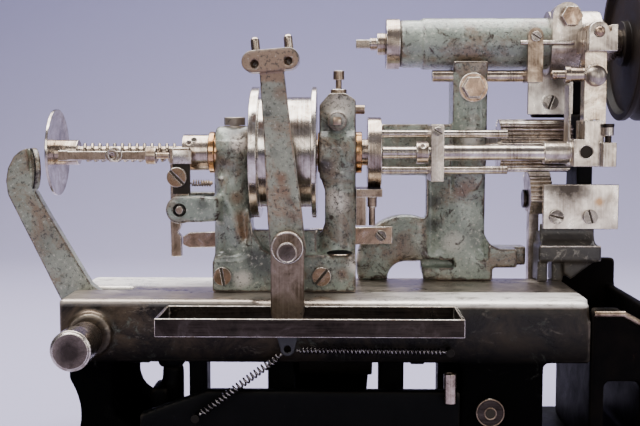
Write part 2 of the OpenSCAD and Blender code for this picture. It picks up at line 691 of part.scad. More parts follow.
module slide_pedestal() color(dark) {
    low = ped_flange_z[0];
    box(ped_x, ped_y, ped_flange_z);
    plate_x([ped_x[0] + 1.6, ped_x[1] - 3]) polygon([[ped_y[1], low], [ped_y[1], low + 17.5], [28.5, low + 17.5],
        [28.5, ped_top + 3], [low_plate_y[1], ped_top + 3], [low_plate_y[1], low + 17], [24, low + 13],
        [ped_y[0], low + 10], [ped_y[0], low]]);
    box(ped_web_x, [low_plate_y[1], ped_y[1]], [low, ped_top + 17]);
    box(ped_foot_x, [ped_y[0] + 4, ped_y[1]], [bed_top, low + 1]);
    box([ped_foot_x[1] + 3.5, bed_right - 0.8], [ped_y[0] + 8, ped_y[1]], [bed_top, low + 1]);
    plate_y([ped_y[0] + 2, ped_y[1]]) polygon([[bed_right - 1.5, low + 0.5], [bed_right + 18, low + 0.5],
        [bed_right + 3, bed_top + 1.9], [bed_right - 1.5, bed_top + 6]]);
}

module pinion_bracket() color(dark) difference() {
    union() {
        box(bracket_x, bracket_y, [ped_flange_z[0] + 17.5, high_plate_z[0]]);
        box(high_bracket_x, high_bracket_y, high_bracket_z);
    }
    along_x([bracket_x[0] - 1, bracket_x[1] + 1], gear_y, pinion_z, gear_shaft_r + fit);
    along_x([bracket_x[0] - 1, bracket_x[1] - 1], gear_y, sector_z, sector_pin_r + snug);
}

module sector_pin() color(steel) {
    along_x([sector_x[0] - 2.4, bracket_x[1] - 1], gear_y, sector_z, sector_pin_r);
    along_x([sector_x[0] - 2.4, sector_x[0] - 0.3], gear_y, sector_z, 6);
}

module cam_posts() color(dark) {
    for (x = posts) difference() {
        box(x, [cam_y - 9, cam_y + 9], [sole_t, cam_z + 11]);
        along_x([x[0] - 1, x[1] + 1], cam_y, cam_z, cam_shaft_r + fit);
    }
    difference() {
        plate_y([cam_y - 9, cam_y + 9]) polygon([[pillar_x - pillar_r, pillar_top], [pillar_x - 11, bed_low],
            [pillar_x - 11, cam_z + 11], [pillar_x + 9.5, cam_z + 11], [pillar_x + 9.5, bed_low],
            [pillar_x + pillar_r, pillar_top]]);
        along_x([pillar_x - 12, pillar_x + 11], cam_y, cam_z, cam_shaft_r + fit);
    }
}

module drain_tube() color(steel) difference() {
    drain_z = [bed_low - 21, bed_low - 4.3];
    union() {
        along_z(drain_z, drain_x, drain_y, drain_r);
        box([drain_x - 2.3, drain_x + 2.3], [drain_y + 1.4, bed_y[0]], [drain_z[0], drain_z[0] + 4]);
    }
    along_z([drain_z[0] + 2, drain_z[1] + 1], drain_x, drain_y, drain_r - 1);
}

module spring_pegs() color(steel) for (p = [[long_end[0] + peg_r + 0.2, long_end[1], 0],
    [short_end[0] - peg_r, short_end[1] - 1, 0]]) {
    along_y([-57, bed_y[0]], p[0], p[1], peg_r);
    along_y([-58, -57], p[0], p[1], peg_r + 0.8);
}

module lever_pin() color(steel) {
    along_y([bar_y[0] - 0.3, web_y[1]], lever_x, lever_z, lever_pin_r);
    along_y([bar_y[0] - 3.3, bar_y[0] - 0.3], lever_x, lever_z, 5.2);
    difference() {
        along_y([lever_y[1] + 0.3, web_y[0]], lever_x, lever_z, 5.6);
        along_y([lever_y[1], web_y[0] + 1], lever_x, lever_z, lever_pin_r);
    }
}

module spindle() color(steel) difference() {
    along_x([collar_x[0], nose_x], 0, axis_z, spindle_r);
    along_x([collar_x[0] - 1, nose_x + 1], 0, axis_z, spindle_bore_r);
}

// One half of the split pulley: its hub, web, rim and outer flange
module pulley(x, flange, bore) {
    side = flange < 0 ? [x[0], x[0] + rim_w[0]] : [x[1] - rim_w[1], x[1]];
    difference() {
        union() {
            along_x(x, 0, axis_z, drum_r);
            along_x(side, 0, axis_z, flange_r);
        }
        for (cut = [[x[0] - 1, side[0] + (flange < 0 ? -1 : 0)], [flange < 0 ? side[1] : x[1] + 9, x[1] + 1]])
            if (cut[1] > cut[0]) difference() {
                along_x(cut, 0, axis_z, drum_r - pulley_wall);
                along_x([cut[0] - 1, cut[1] + 1], 0, axis_z, hub_r);
            }
        along_x([x[0] - 1, x[1] + 1], 0, axis_z, bore);
    }
}
module fast_pulley() color(steel) pulley(fast_x, 1, spindle_r + snug);
module loose_pulley() color(steel) pulley(loose_x, -1, spindle_r + fit);

module rear_collar() color(steel) difference() {
    along_x(collar_x, 0, axis_z, collar_r);
    along_x([collar_x[0] - 1, collar_x[1] + 1], 0, axis_z, spindle_r + snug);
    along_y([-collar_r - 1, -spindle_r], collar_x[0] + 4, axis_z + 6, 1.3);
}

// What leans with the belt lever
module leaning() translate([lever_x, 0, lever_z]) rotate([0, -lever_lean, 0]) children();

module belt_lever() color(paint) difference() {
    leaning() {
        plate_y(lever_y) polygon([[10, 0], [9.7, 20], [8.9, 36], [7.8, 62], [6.7, lever_len - head_h / 2 + 1],
            [-6.7, lever_len - head_h / 2 + 1], [-7.8, 62], [-8.9, 36], [-9.7, 20], [-10, 0]]);
        along_y(lever_y, 0, 0, 10);
        difference() {
            plate_y(head_y) union() {
                translate([0, lever_len]) square([head_w - head_h, head_h], center = true);
                for (s = [-1, 1]) translate([s * (head_w - head_h) / 2, lever_len]) circle(r = head_h / 2);
            }
            for (s = [-1, 1]) {
                along_y([head_y[0] - 1, head_y[0] + 8], s * pin_w + 0.5, lever_len - 1.4, 2.2);
                along_z([lever_len + 3, lever_len + 8], s * pin_w + 1, -41.5, 2.5 + snug);
            }
        }
    }
    along_y([-99, 0], lever_x, lever_z, lever_pin_r + fit);
}

module belt_pins() color(steel) leaning() for (s = [-1, 1]) {
    along_z([lever_len + 3, lever_len + 11.6], s * pin_w + 1, -41.5, 2.5);
    translate([s * pin_w + 1, -41.5, lever_len + 11.6]) sphere(r = 2.5);
}

module lever_bar() color(steel) difference() {
    union() {
        along_y(bar_y, lever_x, lever_z + 2.4, bar_r);
        plate_y(bar_y) polygon([[lever_x + bar_r, lever_z + 2.4], [lever_x + bar_r, lever_z - 34],
            [lever_x + eye_r, lever_z - eye_drop], [lever_x - eye_r, lever_z - eye_drop],
            [lever_x - bar_r, lever_z - 34], [lever_x - bar_r, lever_z + 2.4]]);
        along_y(bar_y, lever_x, lever_z - eye_drop, eye_r);
    }
    along_y([-99, 0], lever_x, lever_z, lever_pin_r + fit);
    along_y([-99, 0], lever_x, lever_z - eye_drop, 1.8);
}

eye_z = lever_z - eye_drop;
long_line = coil_line([lever_x + eye_r + 0.3, spring_y, eye_z - 1.2], [long_end[0], spring_y, long_end[1]],
    long_curls, long_coil, 2);
short_line = coil_line([lever_x - 3, spring_y, eye_z - 3.3], [short_end[0], spring_y, short_end[1]],
    short_curls, short_coil, 2);
push_line = coil_line([hub_x[1] + 0.1, push_coil, axis_z], [collar_x[0] - 0.6, push_coil, axis_z],
    push_curls, push_coil, 1.6);
latch_line = coil_line([stem_x[1] + 0.1, link_y, latch_z + 15], [left_x[0] - 0.1, link_y, latch_z + 15],
    latch_curls, latch_coil, 0.8);
echo(long_spring_gap = turn_gap(long_line, long_wire), short_spring_gap = turn_gap(short_line, short_wire));

// The push spring lies round its rod, so its centre line keeps its radius from end to end
push_coils = [for (i = [0:push_curls * rings]) let (t = i / (push_curls * rings), turn = 360 * push_curls * t)
    [hub_x[1] + 2.4 + (collar_x[0] - hub_x[1] - 4.9) * t, push_coil * cos(turn), axis_z + push_coil * sin(turn)]];
push_ends = concat([push_coils[0] - [1.5, 0, 0]], push_coils, [push_coils[len(push_coils) - 1] + [1.5, 0, 0]]);
echo(push_spring_gap = turn_gap(push_ends, push_wire), latch_spring_gap = turn_gap(latch_line, latch_wire));

module long_spring() color(steel) tube(long_line, long_wire);
module short_spring() color(steel) tube(short_line, short_wire);
module push_spring() color(steel) tube(push_ends, push_wire);
module latch_spring() color(steel) tube(latch_line, latch_wire);

module push_rod() color(steel) {
    along_x([hub_x[0], push_end], 0, axis_z, push_r);
    difference() {
        along_x(hub_x, 0, axis_z, push_hub_r);
        along_x([hub_x[0] - 1, hub_x[1] + 1], 0, axis_z, push_r);
        along_y([-9, -push_r], hub_x[0] + 5, axis_z + 2.8, 1.2);
    }
}

module push_disc() color(dark) difference() {
    turned_x(0, axis_z, [[0, disc_x - dish], [disc_r * 0.5, disc_x - dish * 0.85], [disc_r * 0.85, disc_x - dish * 0.4],
        [disc_r, disc_x - 0.3], [disc_r, disc_x + disc_t - 0.3], [disc_r * 0.8, disc_x + 0.3],
        [push_hub_r + 2, disc_x], [0, disc_x]]);
}

module latch_link() color(steel) difference() {
    union() {
        box([disc_x + 5, disc_x + 11], [link_y - 1.5, -push_hub_r + 2], [link_z - 3, link_z + 3]);
        box([disc_x + 10.9, -124.3], [link_y - 1.5, link_y + 1.5], [link_z - 2.6, link_z + 2.6]);
        along_y([link_y - 2.4, link_y + 1.5], -144.3, link_z, 3.6);
        along_x([-124.3, -118.5], link_y, link_z, 5);
        along_x([-118.5, stem_x[0] - 0.8], link_y, link_z, link_rod_r);
    }
    along_x(hub_x, 0, axis_z, push_hub_r + snug);
    along_y([link_y - 4, link_y + 4], -144.3, link_z, 1.8);
}

module hook_lever() color(paint) difference() {
    union() {
        plate_y(hook_y) polygon([[disc_x - 27.6, hook_z - 15.2], [rock_x - 27.2, rock_z + 12.8],
            [rock_x - 12, rock_z - 2], [rock_x, rock_z - 12], [rock_x + 8, rock_z + 9], [rock_x - 9, rock_z + 22.5],
            [disc_x - 3.1, hook_z - 27.3], [disc_x - 11.4, hook_z - 12.2], [disc_x - 14.6, hook_z + 0.7],
            [disc_x - 15.8, hook_z + 12.5], [disc_x - 20, hook_z + 10.8], [disc_x - 23.8, hook_z + 7.4],
            [disc_x - 27.3, hook_z + 0.7], [disc_x - 28.6, hook_z - 7]]);
        along_y(hook_y, rock_x, rock_z, 12);
        translate([disc_x - 12.4, hook_y[1] - 4, hook_z]) rotate([0, 90, pad_turn])
            cylinder(h = pad_t, r = pad_r, center = true);
    }
    along_y([hook_y[0] - 1, hook_y[1] + 1], rock_x, rock_z, rock_r + snug);
}

module rock_shaft() color(rust) {
    along_y([knob_y[1], bed_y[1] + 8], rock_x, rock_z, rock_r);
    along_y([bed_y[0] - 12, bed_y[0] - 5.3], rock_x, rock_z, 8);
    along_y([knob_y[0] + 1, knob_y[1]], rock_x, rock_z, knob_r);
    along_y([knob_y[0], knob_y[0] + 1], rock_x, rock_z, knob_r - 1.2);
    along_y([bed_y[1] + 4.3, bed_y[1] + 8], rock_x, rock_z, 8);
}

module latch_lever() color(steel) {
    along_y([ear_front[0] - 0.8, finger_y[1]], latch_x, latch_z, latch_pin_r);
    along_y(latch_y, latch_x, latch_z, 6.4);
    difference() {
        box(stem_x, stem_y, [latch_z + 3, link_z - 4.6]);
        along_y([stem_y[0] - 1, stem_y[0] + 5.2], -105.7, latch_z + 18.7, 2.2 + snug);
    }
    difference() {
        box([stem_x[0] - 0.3, stem_x[1]], [stem_y[0] - 1, stem_y[1] + 0.6], [link_z - 4.7, link_z + 4.7]);
        box([stem_x[0] + 2, stem_x[1] + 1], [stem_y[0] - 2, stem_y[0]], [link_z - 1, link_z + 5]);
    }
    along_y([ear_back[1] + 0.3, finger_y[1]], latch_x, latch_z, 6);
    plate_y(finger_y) polygon([[-111, latch_z + 3], [-98, latch_z], [-104, latch_z - 6], [-110, latch_z - 7],
        [-110, latch_z - 14], [-112, latch_z - 18], [-110, latch_z - 20], [-110, latch_z - 33],
        [-116.5, latch_z - 33], [-117, latch_z - 6]]);
}

module latch_screw() color(copper) slotted_screw(-105.7, stem_y[0], latch_z + 18.7, 5.8, 4, 2.2, 5, 45);

module catch_bar() color(steel) difference() {
    union() {
        plate_y(catch_y) polygon([[catch_tip, catch_z - 6], [catch_tip, catch_z - 1], [catch_tip + 4, catch_z + 1.5],
            [catch_x + 7.2, catch_z + 5.6], [catch_x + 7.2, catch_z - 5.5], [catch_x, catch_z - 5.5],
            [catch_tip + 4, catch_z - 8]]);
    }
    along_y([catch_y[0] - 1, catch_y[1] + 1], catch_x, catch_z, bolt_r + fit);
}

module sector_lever() color(steel) difference() {
    union() {
        plate_x(sector_x) translate([gear_y, sector_z]) polygon(concat([[0, -4], [6, 0]],
            [for (i = [-4:9]) each tooth(i, sector_teeth, sector_r, 90)], [[-12, -9]]));
        along_x(sector_x, gear_y, sector_z, 8.2);
        box([109.7, 116], [gear_y - 4, gear_y + 4], [bed_top - 28, sector_z - 5]);
        along_x([108.4, 117.3], gear_y, bed_top - 28, 6);
    }
    along_x([sector_x[0] - 1, sector_x[1] + 1], gear_y, sector_z, sector_pin_r + fit);
}

module long_pinion() color(steel) {
    plate_x(pinion_x) translate([gear_y, pinion_z]) polygon([for (i = [0:pinion_teeth - 1])
        each tooth(i, pinion_teeth, pinion_r, 270 + 180 / pinion_teeth)]);
    along_x([column_x[1] - 12, bracket_x[1] + 1], gear_y, pinion_z, gear_shaft_r);
    along_x([column_x[1] + 0.5, pinion_x[0]], gear_y, pinion_z, 9);
}

module tool_spindle() color(steel) {
    along_x([tool_x[0], tool_x[1]], 0, axis_z, tool_nose_r);
    along_x([tool_x[1], tool_x[2]], 0, axis_z, tool_r);
}

module stop_collar() color(steel) difference() {
    along_x(stop_x, 0, axis_z, stop_r);
    along_x([stop_x[0] - 1, stop_x[1] + 1], 0, axis_z, tool_nose_r + snug);
    along_y([-stop_r - 1, -tool_nose_r], stop_x[0] + 3.6, axis_z + 4, 1.2);
}

module head_block() color(steel) difference() {
    union() {
        along_x([tool_x[2], block_x[0]], 0, axis_z, 6.6);
        box(block_x, [-block_y, block_y], [axis_z - 8, axis_z + 8]);
        for (y = [[-block_y, -fork_t - 0.5], [fork_t + 0.5, block_y]])
            box([block_x[0] + 6, block_x[1] + 2], y, [axis_z, drive_z + 4]);
        along_y([-block_y, block_y], lever_pivot_x, drive_z, drive_pin_r);
        box([block_x[0] - 1.8, block_x[0]], [-3, 9], [axis_z - 7, axis_z + 40]);
        along_z([axis_z + 6, drive_z + 1], block_x[1] + 3.6, -block_y - 3, 1.6);
        along_z([axis_z + 10, drive_z + 1], block_x[1] + 3.6, -block_y - 3, 3.2);
        box([block_x[1], block_x[1] + 8], [-block_y - 6, 3], [axis_z - 8, axis_z + 6.2]);
    }
    along_y([-block_y - 1, 1], block_x[0] + 7.5, axis_z + 0.6, 3.9);
}

module tool_lever() color(steel) difference() {
    union() {
        box([lever_pivot_x - 6.4, lever_pivot_x + 6.4], [-fork_t, fork_t], [axis_z + 9, lever_pivot_z]);
        along_y([-fork_t, fork_t], lever_pivot_x, lever_pivot_z, 6.4);
        along_y([-12.5, 12.5], lever_pivot_x, lever_pivot_z, 3);
        along_y([-fork_t - 2.4, fork_t], lever_pivot_x, trip_z, 6.2);
        along_x([trip_x[1], lever_pivot_x - 6], 0, trip_z, 4.2);
        along_x(trip_x, 0, trip_z, 2.6);
        along_x([trip_x[1] - 1.5, trip_x[1] + 1.5], 0, trip_z, 5);
    }
    box([lever_pivot_x - drive_pin_r - 0.2, lever_pivot_x + drive_pin_r + 0.2], [-fork_t - 1, fork_t + 1],
        [axis_z, drive_z + drive_pin_r + 2]);
}

module overarm_spindle() color(steel) {
    along_x([7.6, arm_end_x[0] - 0.3], arm_back, arm_z, 3.8);
    box([-1.3, 7.6], [arm_back - 2.6, arm_back + 2.6], [arm_z - 2.6, arm_z + 2.6]);
    along_x([12, arm_end_x[0] - 0.3], arm_back, arm_z, 6.8);
    along_x([arm_end_x[0] - 0.3, arm_end_x[1] + 12 + wheel_w + 5], arm_back, arm_z, arm_bore_r - fit);
    along_x([arm_end_x[1] + 0.3, arm_end_x[1] + 8], arm_back, arm_z, 11);
    along_x([arm_end_x[1] + 8, arm_end_x[1] + 12], arm_back, arm_z, 9);
}

module drive_wheel() color(rust) {
    x0 = arm_end_x[1] + 12;
    difference() {
        turned_x(arm_back, arm_z, [[arm_bore_r, x0], [14, x0], [14, x0 + 4], [wheel_r - 6, x0 + 4], [wheel_r - 4, x0],
            [wheel_r, x0], [wheel_r, x0 + 3], [wheel_r - 3, x0 + wheel_w / 2], [wheel_r, x0 + wheel_w - 3],
            [wheel_r, x0 + wheel_w], [wheel_r - 4, x0 + wheel_w], [wheel_r - 6, x0 + wheel_w - 4],
            [14, x0 + wheel_w - 4], [14, x0 + wheel_w], [arm_bore_r, x0 + wheel_w]]);
    }
}

module camshaft() color(steel) {
    along_x(cam_x, cam_y, cam_z, cam_shaft_r);
    along_x(cam_ends[0], cam_y + 2.5, cam_z - 1, cam_end_r);
    along_x([posts[1][1] + 3, posts[2][0] - 4], cam_y, cam_z, cam_drum_r);
    along_x(cam_ends[1], cam_y - 3, cam_z, cam_end_r);
}

base_frame();
bed();
chip_tray();
chip_chute();
headstock();
slotted_screws();
rear_bush();
front_bush();
rear_oil_cap();
oil_plugs();
nose_ring();
nose_bracket();
guide_rods();
rod_carriage();
rear_column();
hex_bolts();
cross_rod();
link_plate();
feeler_rod();
overarm_tube();
overarm_cap();
overarm_clamp();
pivot_head();
upper_plate();
lower_plate();
slide_pedestal();
pinion_bracket();
sector_pin();
cam_posts();
drain_tube();
spring_pegs();
lever_pin();
spindle();
fast_pulley();
rear_collar();
loose_pulley();
belt_lever();
belt_pins();
lever_bar();
long_spring();
short_spring();
push_rod();
push_disc();
push_spring();
latch_link();
hook_lever();
rock_shaft();
latch_lever();
latch_screw();
latch_spring();
catch_bar();
sector_lever();
long_pinion();
tool_spindle();
stop_collar();
head_block();
tool_lever();
overarm_spindle();
drive_wheel();
camshaft();
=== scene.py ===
# %% [markdown]
# This lesson dresses a small lathe that cuts clock screws. Its solids come from CAD and already stand
# in the right place, one object for each part, and each moving part rides on a body. We keep their
# places, and give them what a drawing lacks: cast corners, worn paint, turned steel, screws and knurls.

import json
import math

import bmesh
import bpy
from mathutils import Matrix, Vector

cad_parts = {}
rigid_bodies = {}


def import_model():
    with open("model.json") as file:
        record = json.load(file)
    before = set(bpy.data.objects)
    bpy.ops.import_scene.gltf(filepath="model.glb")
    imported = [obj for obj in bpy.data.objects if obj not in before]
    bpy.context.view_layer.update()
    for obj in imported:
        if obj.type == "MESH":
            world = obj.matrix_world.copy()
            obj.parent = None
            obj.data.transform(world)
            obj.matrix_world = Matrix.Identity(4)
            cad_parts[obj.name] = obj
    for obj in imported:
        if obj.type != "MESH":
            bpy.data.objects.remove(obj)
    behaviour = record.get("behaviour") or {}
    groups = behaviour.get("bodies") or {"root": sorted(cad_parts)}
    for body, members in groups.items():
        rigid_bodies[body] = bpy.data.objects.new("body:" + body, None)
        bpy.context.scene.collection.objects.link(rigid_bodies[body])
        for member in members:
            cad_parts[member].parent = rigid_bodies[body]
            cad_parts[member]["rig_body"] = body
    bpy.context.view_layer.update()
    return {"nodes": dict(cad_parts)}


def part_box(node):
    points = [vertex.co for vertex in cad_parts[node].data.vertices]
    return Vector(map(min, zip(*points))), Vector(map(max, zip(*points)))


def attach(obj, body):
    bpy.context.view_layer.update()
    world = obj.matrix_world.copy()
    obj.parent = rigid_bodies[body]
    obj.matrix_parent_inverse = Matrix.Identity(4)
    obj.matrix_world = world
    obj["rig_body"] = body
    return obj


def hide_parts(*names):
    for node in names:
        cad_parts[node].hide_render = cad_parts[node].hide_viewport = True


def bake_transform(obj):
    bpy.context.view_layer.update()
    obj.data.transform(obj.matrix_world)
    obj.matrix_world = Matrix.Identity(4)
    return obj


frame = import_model()

MM = 0.001

# %% [markdown]
# The camera comes first, because every piece is judged through it. Its place, aim and lens were fitted
# to marks that the photograph and the solids share, such as the ends of the spindle and the bed. It
# looks almost straight at the front, from a little above the spindle.

# %% Camera
EYE = (-0.0111, -0.6292, 0.1973)
YAW = 0.0191
PITCH = 0.0833
LENS = 59.2
camera = bpy.data.objects.new("camera", bpy.data.cameras.new("camera"))
bpy.context.scene.collection.objects.link(camera)
camera.location = EYE
aim = Vector((-math.sin(YAW) * math.cos(PITCH), math.cos(YAW) * math.cos(PITCH), -math.sin(PITCH)))
camera.rotation_euler = aim.to_track_quat("-Z", "Y").to_euler()
camera.data.sensor_width = 36.0
camera.data.lens = LENS
camera.data.clip_start = 0.01
bpy.context.scene.camera = camera
print("camera looks along", [round(part, 3) for part in aim])

# %% [markdown]
# A material is a small network. Each network here starts with the place on the piece, Object
# coordinates, and feeds it to noise. These helpers make the nodes that all the finishes share, so that
# a finish can be read as a short list of layers.

# %% Node helpers
def rgb(red, green, blue):
    """A colour as seen on screen, 0 to 255, as the linear colour that a shader works with."""
    def linear(value):
        value = value / 255
        return value / 12.92 if value < 0.04045 else ((value + 0.055) / 1.055) ** 2.4
    return (linear(red), linear(green), linear(blue), 1.0)


def new_finish(name, metallic):
    """A material with its tree, its shader and the place on the piece."""
    material = bpy.data.materials.new(name)
    material.use_nodes = True
    tree = material.node_tree
    shader = tree.nodes["Principled BSDF"]
    shader.inputs["Metallic"].default_value = metallic
    place = tree.nodes.new("ShaderNodeTexCoord").outputs["Object"]
    return material, tree, shader, place


def plug(tree, source, socket):
    """Links a socket, or sets a plain value."""
    if isinstance(source, bpy.types.NodeSocket):
        tree.links.new(source, socket)
    else:
        socket.default_value = source


def grain(tree, place, scale, stretch=(1, 1, 1), detail=5.0, rough=0.6, twist=0.0):
    """Noise, from 0 to 1. Stretch makes it finer along an axis."""
    mapping = tree.nodes.new("ShaderNodeMapping")
    mapping.inputs["Scale"].default_value = stretch
    tree.links.new(place, mapping.inputs["Vector"])
    noise = tree.nodes.new("ShaderNodeTexNoise")
    noise.inputs["Scale"].default_value = scale
    noise.inputs["Detail"].default_value = detail
    noise.inputs["Roughness"].default_value = rough
    noise.inputs["Distortion"].default_value = twist
    tree.links.new(mapping.outputs["Vector"], noise.inputs["Vector"])
    return noise.outputs["Fac"]


def span(tree, value, low, high, to_low=0.0, to_high=1.0):
    """A value spread from one range to another, and clamped."""
    node = tree.nodes.new("ShaderNodeMapRange")
    for name, number in (("From Min", low), ("From Max", high), ("To Min", to_low), ("To Max", to_high)):
        node.inputs[name].default_value = number
    tree.links.new(value, node.inputs["Value"])
    return node.outputs["Result"]


def mix(tree, factor, first, second):
    """Two colours mixed by a factor."""
    node = tree.nodes.new("ShaderNodeMix")
    node.data_type = "RGBA"
    plug(tree, factor, node.inputs[0])
    plug(tree, first, node.inputs[6])
    plug(tree, second, node.inputs[7])
    return node.outputs[2]


def calc(tree, first, second, kind="MULTIPLY"):
    """Two values multiplied, or joined by another kind of sum, and clamped."""
    node = tree.nodes.new("ShaderNodeMath")
    node.operation = kind
    node.use_clamp = True
    plug(tree, first, node.inputs[0])
    plug(tree, second, node.inputs[1])
    return node.outputs[0]


def bump(tree, shader, relief, distance, strength=0.5):
    """Turns a value into a relief, as deep as a distance in metres."""
    node = tree.nodes.new("ShaderNodeBump")
    node.inputs["Strength"].default_value = strength
    node.inputs["Distance"].default_value = distance
    tree.links.new(relief, node.inputs["Height"])
    tree.links.new(node.outputs["Normal"], shader.inputs["Normal"])


def along(tree, vector, axis):
    """One part of a vector: its X, Y or Z."""
    parts = tree.nodes.new("ShaderNodeSeparateXYZ")
    tree.links.new(vector, parts.inputs["Vector"])
    return parts.outputs[axis]


def height(tree, place, low, high):
    """How high a point is, from 0 at the first height to 1 at the second."""
    return span(tree, along(tree, place, "Z"), low, high)


def upward(tree, low, high):
    """How much a face looks up."""
    normal = tree.nodes.new("ShaderNodeNewGeometry").outputs["Normal"]
    return span(tree, along(tree, normal, "Z"), low, high)


def corners(tree, low, high):
    """How much a point sticks out: near 1 on a dense mesh's outer corners."""
    pointed = tree.nodes.new("ShaderNodeNewGeometry").outputs["Pointiness"]
    return span(tree, pointed, low, high)


def marked(tree, place, colour, centre, reach, tint, share):
    """A soft ragged mark of another colour, about a place in mm. A place of X and Z goes right through."""
    through = len(centre) == 2
    spot = (centre[0], 0, centre[1]) if through else centre
    flat = tree.nodes.new("ShaderNodeVectorMath")
    flat.operation = "MULTIPLY"
    flat.inputs[1].default_value = (1, 0 if through else 1, 1)
    tree.links.new(place, flat.inputs[0])
    far = tree.nodes.new("ShaderNodeVectorMath")
    far.operation = "DISTANCE"
    far.inputs[1].default_value = [part * MM for part in spot]
    tree.links.new(flat.outputs["Vector"], far.inputs[0])
    ragged = calc(tree, grain(tree, place, 130, detail=8, rough=0.75), reach * 0.9 * MM)
    away = calc(tree, far.outputs["Value"], ragged, "ADD")
    return mix(tree, span(tree, away, reach * 1.5 * MM, reach * 0.8 * MM, 0.0, share), colour, rgb(*tint))

# %% [markdown]
# The castings were painted grey green long ago. The paint has gone blotchy, brown where hands and oil
# reached it, and it is full of dark specks and small bright rubs. So the finish has layers, each one a
# noise with its own grain: pale blotches, brown stains that gather on corners, specks, and chips down
# to iron. A fine relief under a half gloss gives the sparkle that old paint has.

# %% Old paint
GRIME = rgb(64, 61, 53)
SPECK = rgb(34, 31, 27)
FLECK = rgb(214, 206, 192)
WORN_FLAT = rgb(60, 48, 38)
WORN_CORNER = rgb(176, 164, 148)


def old_paint(name, main, pale, brown, chips, bare_above=None, marks=()):
    """Old paint, the more chipped the lower the number for chips, and brown above a height."""
    material, tree, shader, place = new_finish(name, 0.0)
    edge = corners(tree, 0.5, 0.57)

    blotch = grain(tree, place, 64, detail=7, rough=0.7, twist=0.3)
    colour = mix(tree, span(tree, blotch, 0.4, 0.66, 0.0, 0.7), rgb(*main), rgb(*pale))

    slow = grain(tree, place, 36, detail=9, rough=0.76, twist=0.5)
    age = calc(tree, slow, calc(tree, edge, 0.24), "ADD")
    if bare_above:
        bare = height(tree, place, bare_above - 4 * MM, bare_above)
        age = calc(tree, age, calc(tree, bare, 0.2), "ADD")
    colour = mix(tree, span(tree, age, 0.5, 0.62, 0.0, 0.85), colour, rgb(*brown))

    shade = grain(tree, place, 28, detail=4, rough=0.6, twist=0.4)
    colour = mix(tree, span(tree, shade, 0.5, 0.66, 0.0, 0.42), colour, GRIME)
    for mark in marks:
        colour = marked(tree, place, colour, *mark)

    speck = grain(tree, place, 480, detail=6, rough=0.75, twist=0.2)
    patchy = calc(tree, speck, calc(tree, slow, 0.3), "ADD")
    colour = mix(tree, span(tree, patchy, 0.715, 0.75, 0.0, 0.75), colour, SPECK)
    colour = mix(tree, span(tree, patchy, 0.555, 0.525, 0.0, 0.5), colour, FLECK)

    broken = grain(tree, place, 120, detail=9, rough=0.82, twist=0.6)
    chip = span(tree, calc(tree, broken, calc(tree, edge, 0.26), "ADD"), chips, chips + 0.03)
    iron = mix(tree, span(tree, edge, 0.4, 0.95), WORN_FLAT, WORN_CORNER)
    tree.links.new(mix(tree, chip, colour, iron), shader.inputs["Base Color"])
    tree.links.new(calc(tree, chip, span(tree, edge, 0.3, 0.9, 0.2, 0.9)), shader.inputs["Metallic"])
    tree.links.new(span(tree, speck, 0.35, 0.65, 0.2, 0.6), shader.inputs["Roughness"])
    shader.inputs["Coat Weight"].default_value = 0.6
    shader.inputs["Coat Roughness"].default_value = 0.16
    relief = calc(tree, span(tree, chip, 0, 1, 0.8, 0.2), calc(tree, speck, 0.8), "SUBTRACT")
    bump(tree, shader, relief, 0.7 * MM, 0.9)
    return material

# %% [markdown]
# Noise can't know where oil ran down and where hands rubbed, so the biggest marks are placed one by one. The
# dark marks are partly oil and partly painted shade, and the pale ones partly rubs and partly painted
# highlights.
# Each row has its place in mm along X and Z, its reach in mm, its colour, and how far it covers. The
# specks and the chips lie over the marks, because they came later.

# %% Marks and paints
# Dark marks: partly oil, partly painted shade down the shaded sides of the pedestals and the column.
OIL_AND_SHADE = (34, 33, 29)
RUST = (112, 78, 52)
# Pale marks: partly rubs, partly painted highlights.
RUB_AND_HIGHLIGHT = (216, 206, 194)
STAINS = [
    ((-71.8, 196), 9, OIL_AND_SHADE, 0.75), ((-70.6, 186.6), 6, RUB_AND_HIGHLIGHT, 0.85), ((-64, 176), 6, OIL_AND_SHADE, 0.85),
    ((-64, 163), 6, OIL_AND_SHADE, 0.85), ((-64, 150), 6, OIL_AND_SHADE, 0.8), ((-72, 155), 5, RUST, 0.7),
    ((-69, 143), 6, RUST, 0.75), ((-67.5, 134), 6, RUST, 0.8), ((-77, 121), 6, OIL_AND_SHADE, 0.7),
    ((-64, 122), 7, OIL_AND_SHADE, 0.7), ((-56, 118), 11, OIL_AND_SHADE, 0.5), ((-68, 108), 6, RUB_AND_HIGHLIGHT, 0.7),
    ((-18, 173), 7, RUST, 0.7), ((-20, 174), 6, OIL_AND_SHADE, 0.85), ((-14, 153), 9, RUB_AND_HIGHLIGHT, 0.7),
    ((-18.5, 196), 6, OIL_AND_SHADE, 0.8), ((-11, 208), 10, RUB_AND_HIGHLIGHT, 0.6), ((-24, 138), 7, OIL_AND_SHADE, 0.45),
    ((-9.4, 111), 5, RUST, 0.8), ((-2, 116), 6, RUB_AND_HIGHLIGHT, 0.8), ((-101, 138), 6, RUST, 0.6),
    ((-104, 158), 5, OIL_AND_SHADE, 0.6), ((-90, 152), 5, OIL_AND_SHADE, 0.6), ((30, 116), 14, RUST, 0.5),
    ((47, 150), 7, OIL_AND_SHADE, 0.75), ((47, 135), 7, OIL_AND_SHADE, 0.7), ((82, 160), 6, OIL_AND_SHADE, 0.8),
    ((82, 143), 6, OIL_AND_SHADE, 0.8), ((66, 158), 6, RUST, 0.7), ((69, 190), 7, RUB_AND_HIGHLIGHT, 0.6),
    ((60, 124), 8, RUB_AND_HIGHLIGHT, 0.4),
]
